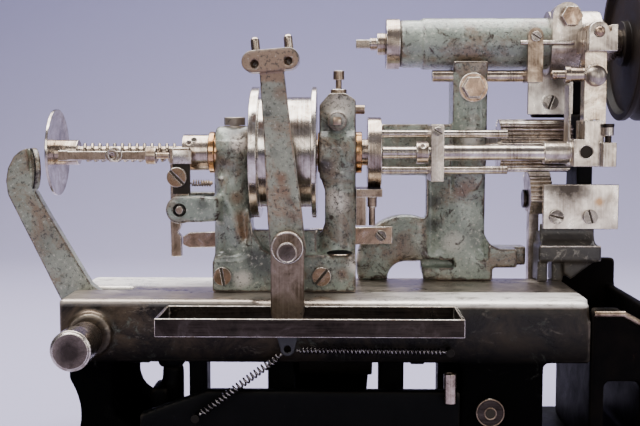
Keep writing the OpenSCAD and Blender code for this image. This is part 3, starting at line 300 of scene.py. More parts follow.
LEVER_STAINS = [
    ((-43.4, 168.3), 4.5, RUST, 0.85), ((-42, 161.5), 5, RUST, 0.7), ((-38.8, 155), 4.5, OIL_AND_SHADE, 0.5),
    ((-51.3, 204), 4, OIL_AND_SHADE, 0.6), ((-45.5, 196), 4, RUST, 0.5), ((-47, 182), 4, OIL_AND_SHADE, 0.35),
    ((-37, 146), 7, OIL_AND_SHADE, 0.35), ((-44, 215), 5, RUST, 0.6),
]
LEVER_HEAD_Z = 0.2235
PAINT = old_paint("green_paint", (116, 125, 112), (153, 160, 145), (114, 90, 68), 0.582, marks=STAINS)
HOOK_PAINT = old_paint("green_paint_hook", (118, 122, 106), (152, 154, 138), (116, 92, 68), 0.6)
LEVER_PAINT = old_paint("green_paint_lever", (122, 124, 109), (149, 151, 134), (130, 98, 72), 0.605,
                        LEVER_HEAD_Z, LEVER_STAINS)
DARK_PAINT = old_paint("green_paint_dark", (48, 52, 48), (84, 88, 78), (48, 40, 32), 0.58)
print("paints made, with", len(STAINS) + len(LEVER_STAINS), "marks")

# %% [markdown]
# Bare metal takes a finish from its last cut. A turned shaft has fine rings across its axis, a planed plate
# has long strokes, and both have brown and grey blooms from age. The stretch of one noise gives the cut, and
# a slow noise gives the bloom. Below the tray everything lies in deep shade, so a metal that reaches down
# there can be told the height below which it is painted black, as painted shade.

# %% Bare metal
DOT = rgb(56, 42, 32)
PAINTED_SHADE_BLACK = rgb(16, 15, 15)


def bare_metal(name, main, pale, deep, rough, cut, bloom=60, relief=0.04, spots=0.64,
               shaded_below=None, marks=()):
    """Cut metal. The relief is in mm, and a lower number for spots gives more dark dots."""
    material, tree, shader, place = new_finish(name, 1.0)
    slow = grain(tree, place, bloom, detail=7, rough=0.72, twist=0.5)
    colour = mix(tree, span(tree, slow, 0.38, 0.54), rgb(*deep), rgb(*main))
    colour = mix(tree, span(tree, slow, 0.54, 0.7), colour, rgb(*pale))
    strokes = grain(tree, place, 260, cut, detail=4, rough=0.65)
    colour = mix(tree, span(tree, strokes, 0.35, 0.75, 0.0, 0.45), colour, rgb(*pale))

    dots = grain(tree, place, 420, detail=8, rough=0.82)
    stain = span(tree, dots, spots, spots + 0.04, 0.0, 0.85)
    colour = mix(tree, stain, colour, DOT)
    shine = span(tree, stain, 0, 1, 1.0, 0.3)
    for mark in marks:
        colour = marked(tree, place, colour, *mark)
    # Painted shade: below a height the metal turns near black and loses its shine.
    if shaded_below:
        unshaded = height(tree, place, shaded_below - 2 * MM, shaded_below + 2 * MM)
        colour = mix(tree, unshaded, PAINTED_SHADE_BLACK, colour)
        shine = calc(tree, shine, unshaded)

    tree.links.new(colour, shader.inputs["Base Color"])
    tree.links.new(span(tree, slow, 0.35, 0.7, rough[1], rough[0]), shader.inputs["Roughness"])
    tree.links.new(shine, shader.inputs["Metallic"])
    bump(tree, shader, calc(tree, strokes, stain, "SUBTRACT"), relief * MM)
    return material

# %% [markdown]
# Each metal of the machine is now one call: a name, three colours from its middle tone to its deepest,
# how rough it is at its brightest and dullest, and the direction of its cut. Two plates and the knobs
# have marks of their own, left by smoke and oil.

# %% Metals
RINGS_X = (4.0, 0.12, 0.12)
RINGS_Y = (0.12, 4.0, 0.12)
STROKES_Z = (3.5, 3.5, 0.1)
STROKES_X = (0.1, 3.5, 3.5)
EVEN = (1, 1, 1)
SMOKE = (46, 40, 36)
SCORCH = (158, 116, 70)
UPPER_MARKS = [((130, 226), 10, SMOKE, 0.8)]
LOWER_MARKS = [((130, 160), 15, SMOKE, 0.95), ((119, 160), 9, SMOKE, 0.8), ((141, 156), 6, SMOKE, 0.6),
               ((149, 150), 4, SCORCH, 0.8), ((156, 152), 5, (96, 74, 54), 0.5)]
KNOB_MARKS = [((-151, -94.6, 80.3), 11, SMOKE, 0.9), ((-40, -60.3, 128), 4, SMOKE, 0.5)]
BRIGHT = bare_metal("bright_steel", (186, 172, 158), (244, 238, 230), (104, 88, 74), (0.1, 0.26), RINGS_X)
TURNED = bare_metal("bare_steel", (158, 140, 124), (220, 206, 190), (82, 66, 54), (0.14, 0.32), RINGS_X)
PLATE = bare_metal("plate_steel", (178, 164, 150), (230, 220, 208), (102, 88, 76), (0.2, 0.42), STROKES_Z)
UPPER = bare_metal("upper_plate_steel", (224, 214, 202), (248, 242, 234), (176, 162, 148), (0.22, 0.4),
                   STROKES_Z, marks=UPPER_MARKS)
LOWER = bare_metal("lower_plate_steel", (206, 194, 180), (240, 232, 222), (160, 146, 132), (0.22, 0.4),
                   STROKES_Z, marks=LOWER_MARKS)
# The bar is painted near black below the tray, as painted shade.
BAR = bare_metal("bar_steel", (122, 106, 92), (160, 144, 128), (76, 62, 50), (0.24, 0.46), STROKES_Z, 90,
                 spots=0.6, shaded_below=0.0875)
BROWN = bare_metal("brown_steel", (138, 118, 100), (186, 168, 148), (74, 58, 44), (0.22, 0.46), STROKES_Z,
                   80, 0.06, 0.58)
DARK = bare_metal("dark_steel", (46, 39, 35), (82, 74, 68), (20, 17, 16), (0.22, 0.46), STROKES_X, 50)
SCREW = bare_metal("screw_bronze", (140, 110, 84), (196, 172, 142), (70, 52, 38), (0.2, 0.42), RINGS_Y, 150)
GREY_SCREW = bare_metal("screw_steel", (112, 103, 96), (190, 182, 174), (52, 46, 42), (0.18, 0.36), RINGS_Y,
                        150)
BRONZE = bare_metal("bronze", (168, 124, 84), (216, 178, 132), (92, 62, 38), (0.14, 0.3), RINGS_X, 70,
                    spots=0.7)
COPPERY = bare_metal("coppery_steel", (150, 122, 100), (206, 184, 162), (76, 58, 46), (0.18, 0.4), RINGS_Y,
                     130)
KNOB = bare_metal("knob_steel", (112, 98, 87), (190, 176, 162), (56, 46, 40), (0.16, 0.34), RINGS_Y, 110,
                  marks=KNOB_MARKS)
WIRE = bare_metal("spring_wire", (140, 122, 104), (204, 192, 174), (60, 50, 40), (0.18, 0.36), EVEN, 160)
LOW_WIRE = bare_metal("black_wire", (112, 106, 102), (190, 184, 180), (40, 37, 35), (0.14, 0.28), EVEN, 160)
# Bright worn edges: partly wear, partly a painted glint along edges.
EDGE_WEAR_AND_GLINT = bare_metal("worn_edge_and_glint", (204, 194, 182), (242, 236, 228), (132, 114, 98), (0.16, 0.34), EVEN, 110,
                  0.03)
print("bare metals made")

# %% [markdown]
# The frame under the bed was never bright: it is black iron with oil on it, with thin pale flecks where the
# black has worn. Its near black, which the dark fills in holes and slots share, is partly that iron and
# partly painted shade. It is hardly a metal to look at, so the shader stays a dielectric.

# %% Black iron
RUBBED = rgb(128, 116, 102)


def black_iron(name, main, pale, fleck, flecks, shine, gloss=(0.45, 0.65), rub=0.35):
    """Oiled iron. A lower number for flecks gives more of them."""
    material, tree, shader, place = new_finish(name, 0.0)
    slow = grain(tree, place, 45, detail=8, rough=0.72, twist=0.5)
    colour = mix(tree, span(tree, slow, 0.42, 0.66), rgb(*main), rgb(*pale))
    thin = grain(tree, place, 120, detail=9, rough=0.8, twist=0.9)
    colour = mix(tree, span(tree, thin, flecks, flecks + 0.06, 0.0, 0.75), colour, rgb(*fleck))
    colour = mix(tree, calc(tree, corners(tree, 0.53, 0.66), rub), colour, RUBBED)
    tree.links.new(colour, shader.inputs["Base Color"])
    shader.inputs["Specular IOR Level"].default_value = shine
    tree.links.new(span(tree, slow, 0.35, 0.7, *gloss), shader.inputs["Roughness"])
    bump(tree, shader, grain(tree, place, 500, detail=6, rough=0.7), 0.15 * MM)
    return material


# Partly painted shade: a near black for the frame under the bed, darker than black paint alone.
IRON_AND_SHADE = black_iron("black_iron", (4, 4, 4), (10, 10, 10), (44, 43, 40), 0.63, 0.06)
CAST = black_iron("cast_iron", (44, 40, 36), (74, 68, 60), (136, 130, 118), 0.56, 0.4, (0.3, 0.55), 0.6)
RUSTY = black_iron("rusty_iron", (6, 5, 5), (14, 11, 9), (58, 44, 33), 0.63, 0.02)
WHEEL = black_iron("wheel_iron", (24, 18, 15), (38, 29, 24), (64, 46, 34), 0.58, 0.1, (0.5, 0.65), 0.2)
print("irons made")

# %% [markdown]
# The bed is scraped and polished on top and mottled on its front, and its feet are near black, partly the
# black of the frame and partly painted shade. Its worn rims are pale, partly wear and partly painted
# highlight, and a white band along the top's front edge is a painted highlight. So its finish asks each face
# how much it looks up and each point where it is. Three noises are shared by all its parts: a slow one for
# tone, one for green remains of paint, and one for scrapes.

# %% Bed
def bed_front(tree, place, slow, green, scrape):
    """The colour of the bed's front: brown with green and pale flecks, and darker to the right."""
    colour = mix(tree, span(tree, slow, 0.44, 0.6), rgb(30, 25, 20), rgb(74, 62, 48))
    colour = mix(tree, span(tree, green, 0.56, 0.64, 0.0, 0.8), colour, rgb(88, 92, 82))
    colour = mix(tree, span(tree, scrape, 0.57, 0.66, 0.0, 0.7), colour, rgb(130, 120, 106))
    right = span(tree, along(tree, place, "X"), 0.0, 0.06, 0.0, 0.6)
    return mix(tree, right, colour, rgb(22, 20, 19))


def bed_top(tree, place, slow, scrape):
    """The colour of the bed's top: pale with brown strokes, and oiled in front of the headstock."""
    east, north = along(tree, place, "X"), along(tree, place, "Y")
    colour = mix(tree, span(tree, slow, 0.42, 0.6), rgb(150, 136, 122), rgb(214, 202, 188))
    colour = mix(tree, span(tree, scrape, 0.54, 0.66, 0.0, 0.7), colour, rgb(70, 58, 48))
    oiled = calc(tree, span(tree, north, -0.018, -0.024), span(tree, east, 0.02, -0.02))
    return mix(tree, calc(tree, oiled, 0.7), colour, rgb(104, 84, 66))


def bed_highlight_band(tree, place, scrape):
    """How far the top is painted white as a highlight: in a band along its front, and at its left end."""
    east, north = along(tree, place, "X"), along(tree, place, "Y")
    highlight_band = calc(tree, span(tree, north, -0.017, -0.021), span(tree, east, -0.02, 0.06, 0.15, 1.0))
    corner = calc(tree, span(tree, north, -0.004, 0.006), span(tree, east, -0.06, -0.08))
    highlight_band = calc(tree, calc(tree, highlight_band, corner, "MAXIMUM"), height(tree, place, 0.0955, 0.0985))
    return calc(tree, highlight_band, span(tree, scrape, 0.64, 0.5, 0.2, 1.0))


def scraped_bed(name):
    """The whole finish of the bed, from its black feet to the painted highlight band on its top."""
    material, tree, shader, place = new_finish(name, 0.7)
    slow = grain(tree, place, 40, (0.7, 1, 1), detail=9, rough=0.76, twist=0.5)
    green = grain(tree, place, 70, detail=9, rough=0.8, twist=0.8)
    scrape = grain(tree, place, 150, (0.4, 1, 1), detail=9, rough=0.82, twist=0.6)

    above_feet = height(tree, place, 0.064, 0.084)
    # Near black feet: partly black paint like the frame, partly painted shade low under the machine.
    black_and_shaded_feet = mix(tree, span(tree, green, 0.6, 0.66, 0.0, 0.5), rgb(6, 6, 6), rgb(44, 44, 40))
    front = mix(tree, above_feet, black_and_shaded_feet, bed_front(tree, place, slow, green, scrape))
    up = calc(tree, upward(tree, 0.2, 0.6), height(tree, place, 0.09, 0.094))
    # Pale rims on the outer corners: partly wear, partly painted highlight.
    worn = calc(tree, corners(tree, 0.52, 0.6), span(tree, scrape, 0.3, 0.6))
    rim_wear_and_highlight = calc(tree, worn, above_feet)
    # Painted highlight: a near white band along the top's front edge and a patch at its left end.
    highlight_band = bed_highlight_band(tree, place, scrape)
    colour = mix(tree, up, front, bed_top(tree, place, slow, scrape))
    colour = mix(tree, rim_wear_and_highlight, colour, rgb(206, 192, 174))
    colour = mix(tree, highlight_band, colour, rgb(250, 245, 238))

    tree.links.new(colour, shader.inputs["Base Color"])
    tree.links.new(calc(tree, above_feet, 0.16), shader.inputs["Specular IOR Level"])
    tree.links.new(span(tree, slow, 0.36, 0.66, 0.22, 0.5), shader.inputs["Roughness"])
    metal = calc(tree, calc(tree, up, rim_wear_and_highlight, "MAXIMUM"), calc(tree, highlight_band, 0.75), "SUBTRACT")
    tree.links.new(calc(tree, metal, above_feet), shader.inputs["Metallic"])
    bump(tree, shader, calc(tree, scrape, slow, "ADD"), 0.22 * MM)
    return material


BED = scraped_bed("bed_iron")
print("bed's finish made")

# %% [markdown]
# Every dressed piece starts from a copy of its CAD solid, because the solid has the right size and the
# right holes. CAD meshes are loose triangles, so the copy is welded first. Two ways lead on from there.
# A casting is rebuilt from small cubes and smoothed, which rounds each corner as a sand mould does. A
# machined part keeps its flat faces and gets a narrow bevel, which is what makes an edge glint.

# %% Helpers for pieces
def welded(node, low_x=-1, high_x=1):
    """A bmesh of a CAD solid with its triangles joined, or of what lies between two places along X."""
    bm = bmesh.new()
    bm.from_mesh(frame["nodes"][node].data)
    bmesh.ops.remove_doubles(bm, verts=bm.verts, dist=1e-6)
    outside = [vert for vert in bm.verts if not low_x < vert.co.x < high_x]
    bmesh.ops.delete(bm, geom=outside, context="VERTS")
    return bm


def piece(name, bm, body, material, nodes=()):
    """A finished piece at the origin, which rides on a body and stands for CAD nodes."""
    mesh = bpy.data.meshes.new(name)
    for face in bm.faces:
        face.smooth = True
    bm.to_mesh(mesh)
    bm.free()
    mesh.materials.append(material)
    made = bpy.data.objects.new(name, mesh)
    bpy.context.scene.collection.objects.link(made)
    if body:
        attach(made, body)
    if nodes:
        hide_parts(*nodes)
    return made

# %% [markdown]
# A casting needs a closed mesh of even small faces. The voxel remesh makes one, and smoothing does the
# rest. A pedestal with a round front is a flat one in the solid, so its front is bent like a barrel.

# %% Helpers for castings
ROUNDS = 5
BARREL_FADE = 8


def rebuilt(bm, cube):
    """A closed bmesh of even faces, rebuilt from cubes of a size in mm."""
    mesh = bpy.data.meshes.new("rough")
    bm.to_mesh(mesh)
    bm.free()
    rough = bpy.data.objects.new("rough", mesh)
    bpy.context.scene.collection.objects.link(rough)
    cubes = rough.modifiers.new("cubes", "REMESH")
    cubes.mode = "VOXEL"
    cubes.voxel_size = cube * MM
    bpy.context.view_layer.update()
    built = bpy.data.meshes.new_from_object(rough.evaluated_get(bpy.context.evaluated_depsgraph_get()))
    bpy.data.objects.remove(rough)
    bm = bmesh.new()
    bm.from_mesh(built)
    return bm


def smooth(bm, verts, rounds):
    """Moves vertices towards their neighbours, some rounds over."""
    for _ in range(rounds):
        bmesh.ops.smooth_vert(bm, verts=verts, factor=0.5, use_axis_x=True, use_axis_y=True, use_axis_z=True)


def inside(vert, zone):
    """Whether a vertex lies in a zone, given in mm as its low and high corners."""
    low, high = zone
    return all(low[axis] * MM < vert.co[axis] < high[axis] * MM for axis in range(3))


def barrel(bm, low_x, high_x, front, low_z, high_z, depth):
    """Bends a flat front, given in mm, into a round one: its sides go back and its middle stays."""
    middle, half = (low_x + high_x) / 2, (high_x - low_x) / 2
    reach = 1.6 * depth
    for vert in bm.verts:
        x, y, z = vert.co / MM
        if abs(x - middle) < half + 1 and front - 1 < y < front + reach and low_z < z < high_z:
            fade = min(1, (z - low_z) / BARREL_FADE, (high_z - z) / BARREL_FADE) * (1 - (y - front) / reach)
            vert.co.y += depth * MM * min(1, abs(x - middle) / half) ** 2.5 * fade


def casting(node, cube, material, soft=(), fronts=()):
    """A CAD solid as a casting, smoothed most in its soft zones and bent at its fronts."""
    bm = rebuilt(welded(node), cube)
    smooth(bm, bm.verts, ROUNDS)
    for front in fronts:
        barrel(bm, *front)
    for zone, rounds in soft:
        smooth(bm, [vert for vert in bm.verts if inside(vert, zone)], rounds)
    made = piece(node + "_cast", bm, frame["nodes"][node]["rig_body"], material, [node])
    print(node, "cast with", len(made.data.polygons), "faces")
    return made

# %% [markdown]
# A bevel can tear a mesh where two edges lie closer than its width. So each bevelled copy is measured: it has
# to stay in its solid's box and keep its volume. If it doesn't, a narrower bevel is tried, and in the end
# none. The bright worn metal goes on the bevels alone, partly as wear and partly as a painted glint.

# %% Helpers for machined parts
FLAT_ANGLE = math.radians(0.5)
SHARP_ANGLE = math.radians(26)
SHADE_ANGLE = math.radians(50)
BEVEL_SHARES = (1.0, 0.6, 0.3)


def planed(node, low_x, high_x):
    """A welded CAD solid whose flat sides are one face each."""
    bm = welded(node, low_x, high_x)
    bmesh.ops.dissolve_limit(bm, angle_limit=FLAT_ANGLE, verts=bm.verts, edges=bm.edges)
    return bm


def bevelled(node, width, worn, low_x, high_x):
    """A planed CAD solid with its sharp edges bevelled, or None if the bevel spoils it."""
    bm = planed(node, low_x, high_x)
    volume = bm.calc_volume()
    low, high = [Vector(corner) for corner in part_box(node)]
    sharp = [edge for edge in bm.edges if edge.is_manifold and edge.calc_face_angle(0) > SHARP_ANGLE]
    bmesh.ops.bevel(bm, geom=sharp, offset=width, offset_type="OFFSET", segments=2, profile=0.5,
                    affect="EDGES", clamp_overlap=False, material=worn)
    in_box = all(low[axis] - 1e-5 < vert.co[axis] < high[axis] + 1e-5
                 for vert in bm.verts for axis in range(3))
    if in_box and 0.9 < bm.calc_volume() / volume < 1.005:
        return bm
    bm.free()
    return None


def machined(node, material, width, edges=None, low_x=-1, high_x=1, ending="_part", slide=0.0):
    """A CAD solid as a machined part, with the widest bevel in mm that its shape takes."""
    for share in BEVEL_SHARES:
        bm = bevelled(node, width * share * MM, 1 if edges else -1, low_x, high_x)
        if bm:
            break
    else:
        share = 0
        bm = planed(node, low_x, high_x)
    bmesh.ops.translate(bm, verts=bm.verts, vec=(slide * MM, 0, 0))
    for edge in bm.edges:
        edge.smooth = edge.calc_face_angle(0) < SHADE_ANGLE
    made = piece(node + ending, bm, frame["nodes"][node]["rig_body"], material, [node])
    if edges:
        made.data.materials.append(edges)
    weigh = made.modifiers.new("even_light", "WEIGHTED_NORMAL")
    weigh.keep_sharp = True
    weigh.weight = 80
    print(node, "bevel share", share, "faces", len(made.data.polygons))
    return made

# %% [markdown]
# The castings come first: bed, base, headstock, column and the levers that were cast. The cube size is
# a choice between soft corners and a light mesh, so the big ones get bigger cubes. Some places wore or
# were moulded much rounder than the rest, so those zones are smoothed many more times.

# %% Castings
CASTINGS = [
    ("bed", 1.3, BED, "black_iron"),
    ("base_frame", 1.7, IRON_AND_SHADE, "black_iron"),
    ("chip_chute", 1.3, RUSTY, "black_iron"),
    ("headstock", 0.75, PAINT, "green_paint"),
    ("rear_column", 0.85, PAINT, "green_paint"),
    ("hook_lever", 0.6, HOOK_PAINT, "green_paint"),
    ("belt_lever", 0.5, LEVER_PAINT, "green_paint"),
    ("overarm_tube", 0.7, PAINT, "green_paint"),
    ("slide_pedestal", 0.8, CAST, "black_iron"),
    ("pinion_bracket", 0.9, IRON_AND_SHADE, "black_iron"),
    ("cam_posts", 1.2, IRON_AND_SHADE, "black_iron"),
]
SOFT = {
    "bed": [(((-60, -60, 88), (140, -38, 102)), 36)],
    "headstock": [(((-90, -30, 118), (-63, -8, 174)), 60), (((-88, -20, 188), (-66, 20, 199)), 60),
                  (((-20, -30, 118), (0, -8, 168)), 50), (((-112, -30, 134), (-88, -20, 166)), 8)],
    "rear_column": [(((-5, 18, 98), (52, 30, 176)), 40)],
}
FRONTS = {
    "headstock": [(-85.5, -64, -16, 116, 204, 8), (-23.4, -1.8, -16, 118, 176, 6)],
    "rear_column": [(58.6, 79.8, 22, 150, 236, 4), (46, 81, 27, 112, 176, 5)],
}
for node, cube, material, slot in CASTINGS:
    casting(node, cube, material, SOFT.get(node, ()), FRONTS.get(node, ()))
print("castings:", len(CASTINGS))

# %% [markdown]
# The machined parts need no new shape, only edges. One table gives each its metal, the name of its finish in
# the record, the width of its bevel in mm, and the bright metal of worn edges, partly a painted glint, where
# it has them.
# The head block stands a little to the left of its solid, where the photograph shows it. The screws
# are one node, but those at the headstock have gone brown and the others are grey.

# %% Machined parts
MACHINED = [
    ("chip_tray", DARK, "dark_steel", 0.4, EDGE_WEAR_AND_GLINT),
    ("rear_bush", BRONZE, "bronze", 0.4, None),
    ("front_bush", BRONZE, "bronze", 0.4, None),
    ("rear_oil_cap", DARK_PAINT, "green_paint", 0.6, None),
    ("oil_plugs", BROWN, "brown_steel", 0.35, EDGE_WEAR_AND_GLINT),
    ("nose_ring", TURNED, "bare_steel", 0.5, EDGE_WEAR_AND_GLINT),
    ("nose_bracket", BROWN, "brown_steel", 0.4, EDGE_WEAR_AND_GLINT),
    ("guide_rods", BRIGHT, "bright_steel", 0.4, None),
    ("rod_carriage", PLATE, "bare_steel", 0.5, EDGE_WEAR_AND_GLINT),
    ("hex_bolts", COPPERY, "coppery_steel", 0.5, EDGE_WEAR_AND_GLINT),
    ("cross_rod", TURNED, "bare_steel", 0.6, EDGE_WEAR_AND_GLINT),
    ("link_plate", BROWN, "brown_steel", 0.4, EDGE_WEAR_AND_GLINT),
    ("feeler_rod", BRIGHT, "bright_steel", 0.3, None),
    ("overarm_cap", TURNED, "bare_steel", 0.5, EDGE_WEAR_AND_GLINT),
    ("overarm_clamp", PLATE, "bare_steel", 0.5, EDGE_WEAR_AND_GLINT),
    ("pivot_head", PLATE, "bare_steel", 0.5, EDGE_WEAR_AND_GLINT),
    ("upper_plate", UPPER, "bare_steel", 0.5, EDGE_WEAR_AND_GLINT),
    ("lower_plate", LOWER, "bare_steel", 0.5, EDGE_WEAR_AND_GLINT),
    ("sector_pin", DARK, "bright_steel", 0.4, None),
    ("drain_tube", TURNED, "bright_steel", 0.3, None),
    ("spring_pegs", IRON_AND_SHADE, "black_iron", 0.3, None),
    ("lever_pin", KNOB, "bright_steel", 0.5, EDGE_WEAR_AND_GLINT),
    ("spindle", TURNED, "bare_steel", 0.5, EDGE_WEAR_AND_GLINT),
    ("fast_pulley", BRIGHT, "bright_steel", 0.5, EDGE_WEAR_AND_GLINT),
    ("rear_collar", TURNED, "bare_steel", 0.6, EDGE_WEAR_AND_GLINT),
    ("loose_pulley", BRIGHT, "bright_steel", 0.6, EDGE_WEAR_AND_GLINT),
    ("belt_pins", TURNED, "bare_steel", 0.3, None),
    ("lever_bar", BAR, "bare_steel", 0.7, None),
    ("push_rod", TURNED, "bare_steel", 0.4, EDGE_WEAR_AND_GLINT),
    ("push_disc", BRIGHT, "dark_steel", 0.3, None),
    ("latch_link", BROWN, "brown_steel", 0.4, EDGE_WEAR_AND_GLINT),
    ("rock_shaft", KNOB, "coppery_steel", 0.6, EDGE_WEAR_AND_GLINT),
    ("latch_lever", BROWN, "brown_steel", 0.5, EDGE_WEAR_AND_GLINT),
    ("latch_screw", SCREW, "coppery_steel", 0.35, EDGE_WEAR_AND_GLINT),
    ("catch_bar", COPPERY, "coppery_steel", 0.5, EDGE_WEAR_AND_GLINT),
    ("sector_lever", PLATE, "bare_steel", 0.2, None),
    ("long_pinion", BRIGHT, "bright_steel", 0.15, None),
    ("tool_spindle", BRIGHT, "bright_steel", 0.4, None),
    ("stop_collar", TURNED, "bare_steel", 0.4, EDGE_WEAR_AND_GLINT),
    ("tool_lever", TURNED, "bare_steel", 0.5, EDGE_WEAR_AND_GLINT),
    ("overarm_spindle", TURNED, "bare_steel", 0.4, EDGE_WEAR_AND_GLINT),
    ("drive_wheel", WHEEL, "brown_steel", 0.6, None),
    ("camshaft", IRON_AND_SHADE, "dark_steel", 0.6, None),
]
for node, material, slot, width, edges in MACHINED:
    machined(node, material, width, edges)
machined("head_block", PLATE, 0.5, EDGE_WEAR_AND_GLINT, slide=-3.2)
machined("slotted_screws", SCREW, 0.3, EDGE_WEAR_AND_GLINT, high_x=0, ending="_brown")
machined("slotted_screws", GREY_SCREW, 0.3, EDGE_WEAR_AND_GLINT, low_x=0, ending="_grey")

# %% [markdown]
# A spring is one wire. The solids have it with six flat sides, which is enough to be measured but not to be
# seen, so each copy is subdivided once for a round wire. A spring that joins two bodies has an end on each.
# The copy rides on no body and stays where the solid puts it.

# %% Springs
def spring(node, material):
    """A CAD spring with a rounder wire, fixed in place."""
    bm = welded(node)
    bmesh.ops.subdivide_edges(bm, edges=bm.edges, cuts=1, smooth=1.0, use_grid_fill=True)
    made = piece(node + "_wire", bm, None, material, [node])
    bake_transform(made)
    print(node, "has", len(made.data.polygons), "faces")


spring("long_spring", LOW_WIRE)
spring("short_spring", LOW_WIRE)
spring("push_spring", WIRE)
spring("latch_spring", WIRE)

# %% [markdown]
# Small things come last: pins, domed ends, oil holes and worn caps that the solids leave flat. Black discs in
# holes and black bars in screw slots are painted shade, and some bright rings and rods are painted
# highlights. Each is one piece made of round parts, domes, rings and blocks, with its places in mm. It rides
# on the body that it is fixed to, so it moves with it.

# %% Fittings
def placed(centre, axis):
    """A matrix that stands a shape on a point in mm, with its top along an axis."""
    return Matrix.Translation(Vector(centre) * MM) @ Vector(axis).to_track_quat("Z", "Y").to_matrix().to_4x4()


def rod(bm, centre, axis, radius, length, end=None):
    """A cylinder about a centre. With an end radius it is a cone."""
    bmesh.ops.create_cone(bm, cap_ends=True, segments=32, radius1=radius * MM, depth=length * MM,
                          radius2=(radius if end is None else end) * MM, matrix=placed(centre, axis))


def dome(bm, centre, axis, radius, rise):
    """A ball, flattened along an axis."""
    squash = Matrix.Diagonal((1, 1, rise / radius, 1))
    bmesh.ops.create_uvsphere(bm, u_segments=32, v_segments=16, radius=radius * MM,
                              matrix=placed(centre, axis) @ squash)


def ring(bm, centre, axis, radius, wire):
    """A round wire bent to a ring."""
    at = placed(centre, axis)
    start = at @ Matrix.Translation((radius * MM, 0, 0)) @ Matrix.Rotation(math.pi / 2, 4, "X")
    circle = bmesh.ops.create_circle(bm, segments=12, radius=wire * MM, matrix=start)["verts"]
    edges = {edge for vert in circle for edge in vert.link_edges}
    bmesh.ops.spin(bm, geom=circle + list(edges), cent=at.translation, axis=at.to_3x3() @ Vector((0, 0, 1)),
                   angle=2 * math.pi, steps=40, use_merge=True)


def block(bm, low, high):
    """A box between two corners, with its edges bevelled."""
    middle = [(a + b) / 2 * MM for a, b in zip(low, high)]
    size = [(b - a) * MM for a, b in zip(low, high)]
    at = Matrix.Translation(middle) @ Matrix.Diagonal(size + [1])
    made = bmesh.ops.create_cube(bm, size=1, matrix=at)
    edges = {edge for vert in made["verts"] for edge in vert.link_edges}
    bmesh.ops.bevel(bm, geom=list(edges), offset=0.12 * min(size), segments=2, profile=0.5, affect="EDGES")


def slot_shade(bm, x, z, face, radius, depth, turn):
    """A black bar of painted shade on the floor of a slot, turned by degrees, in a screw's head whose face
    looks to the front.
    """
    middle = Vector((x, face + 0.5 * depth - 0.35, z)) * MM
    at = Matrix.Translation(middle) @ Matrix.Rotation(math.radians(turn), 4, "Y")
    size = (1.92 * radius, 0.6, 0.26 * radius, 1)
    bmesh.ops.create_cube(bm, size=MM, matrix=at @ Matrix.Diagonal(size))


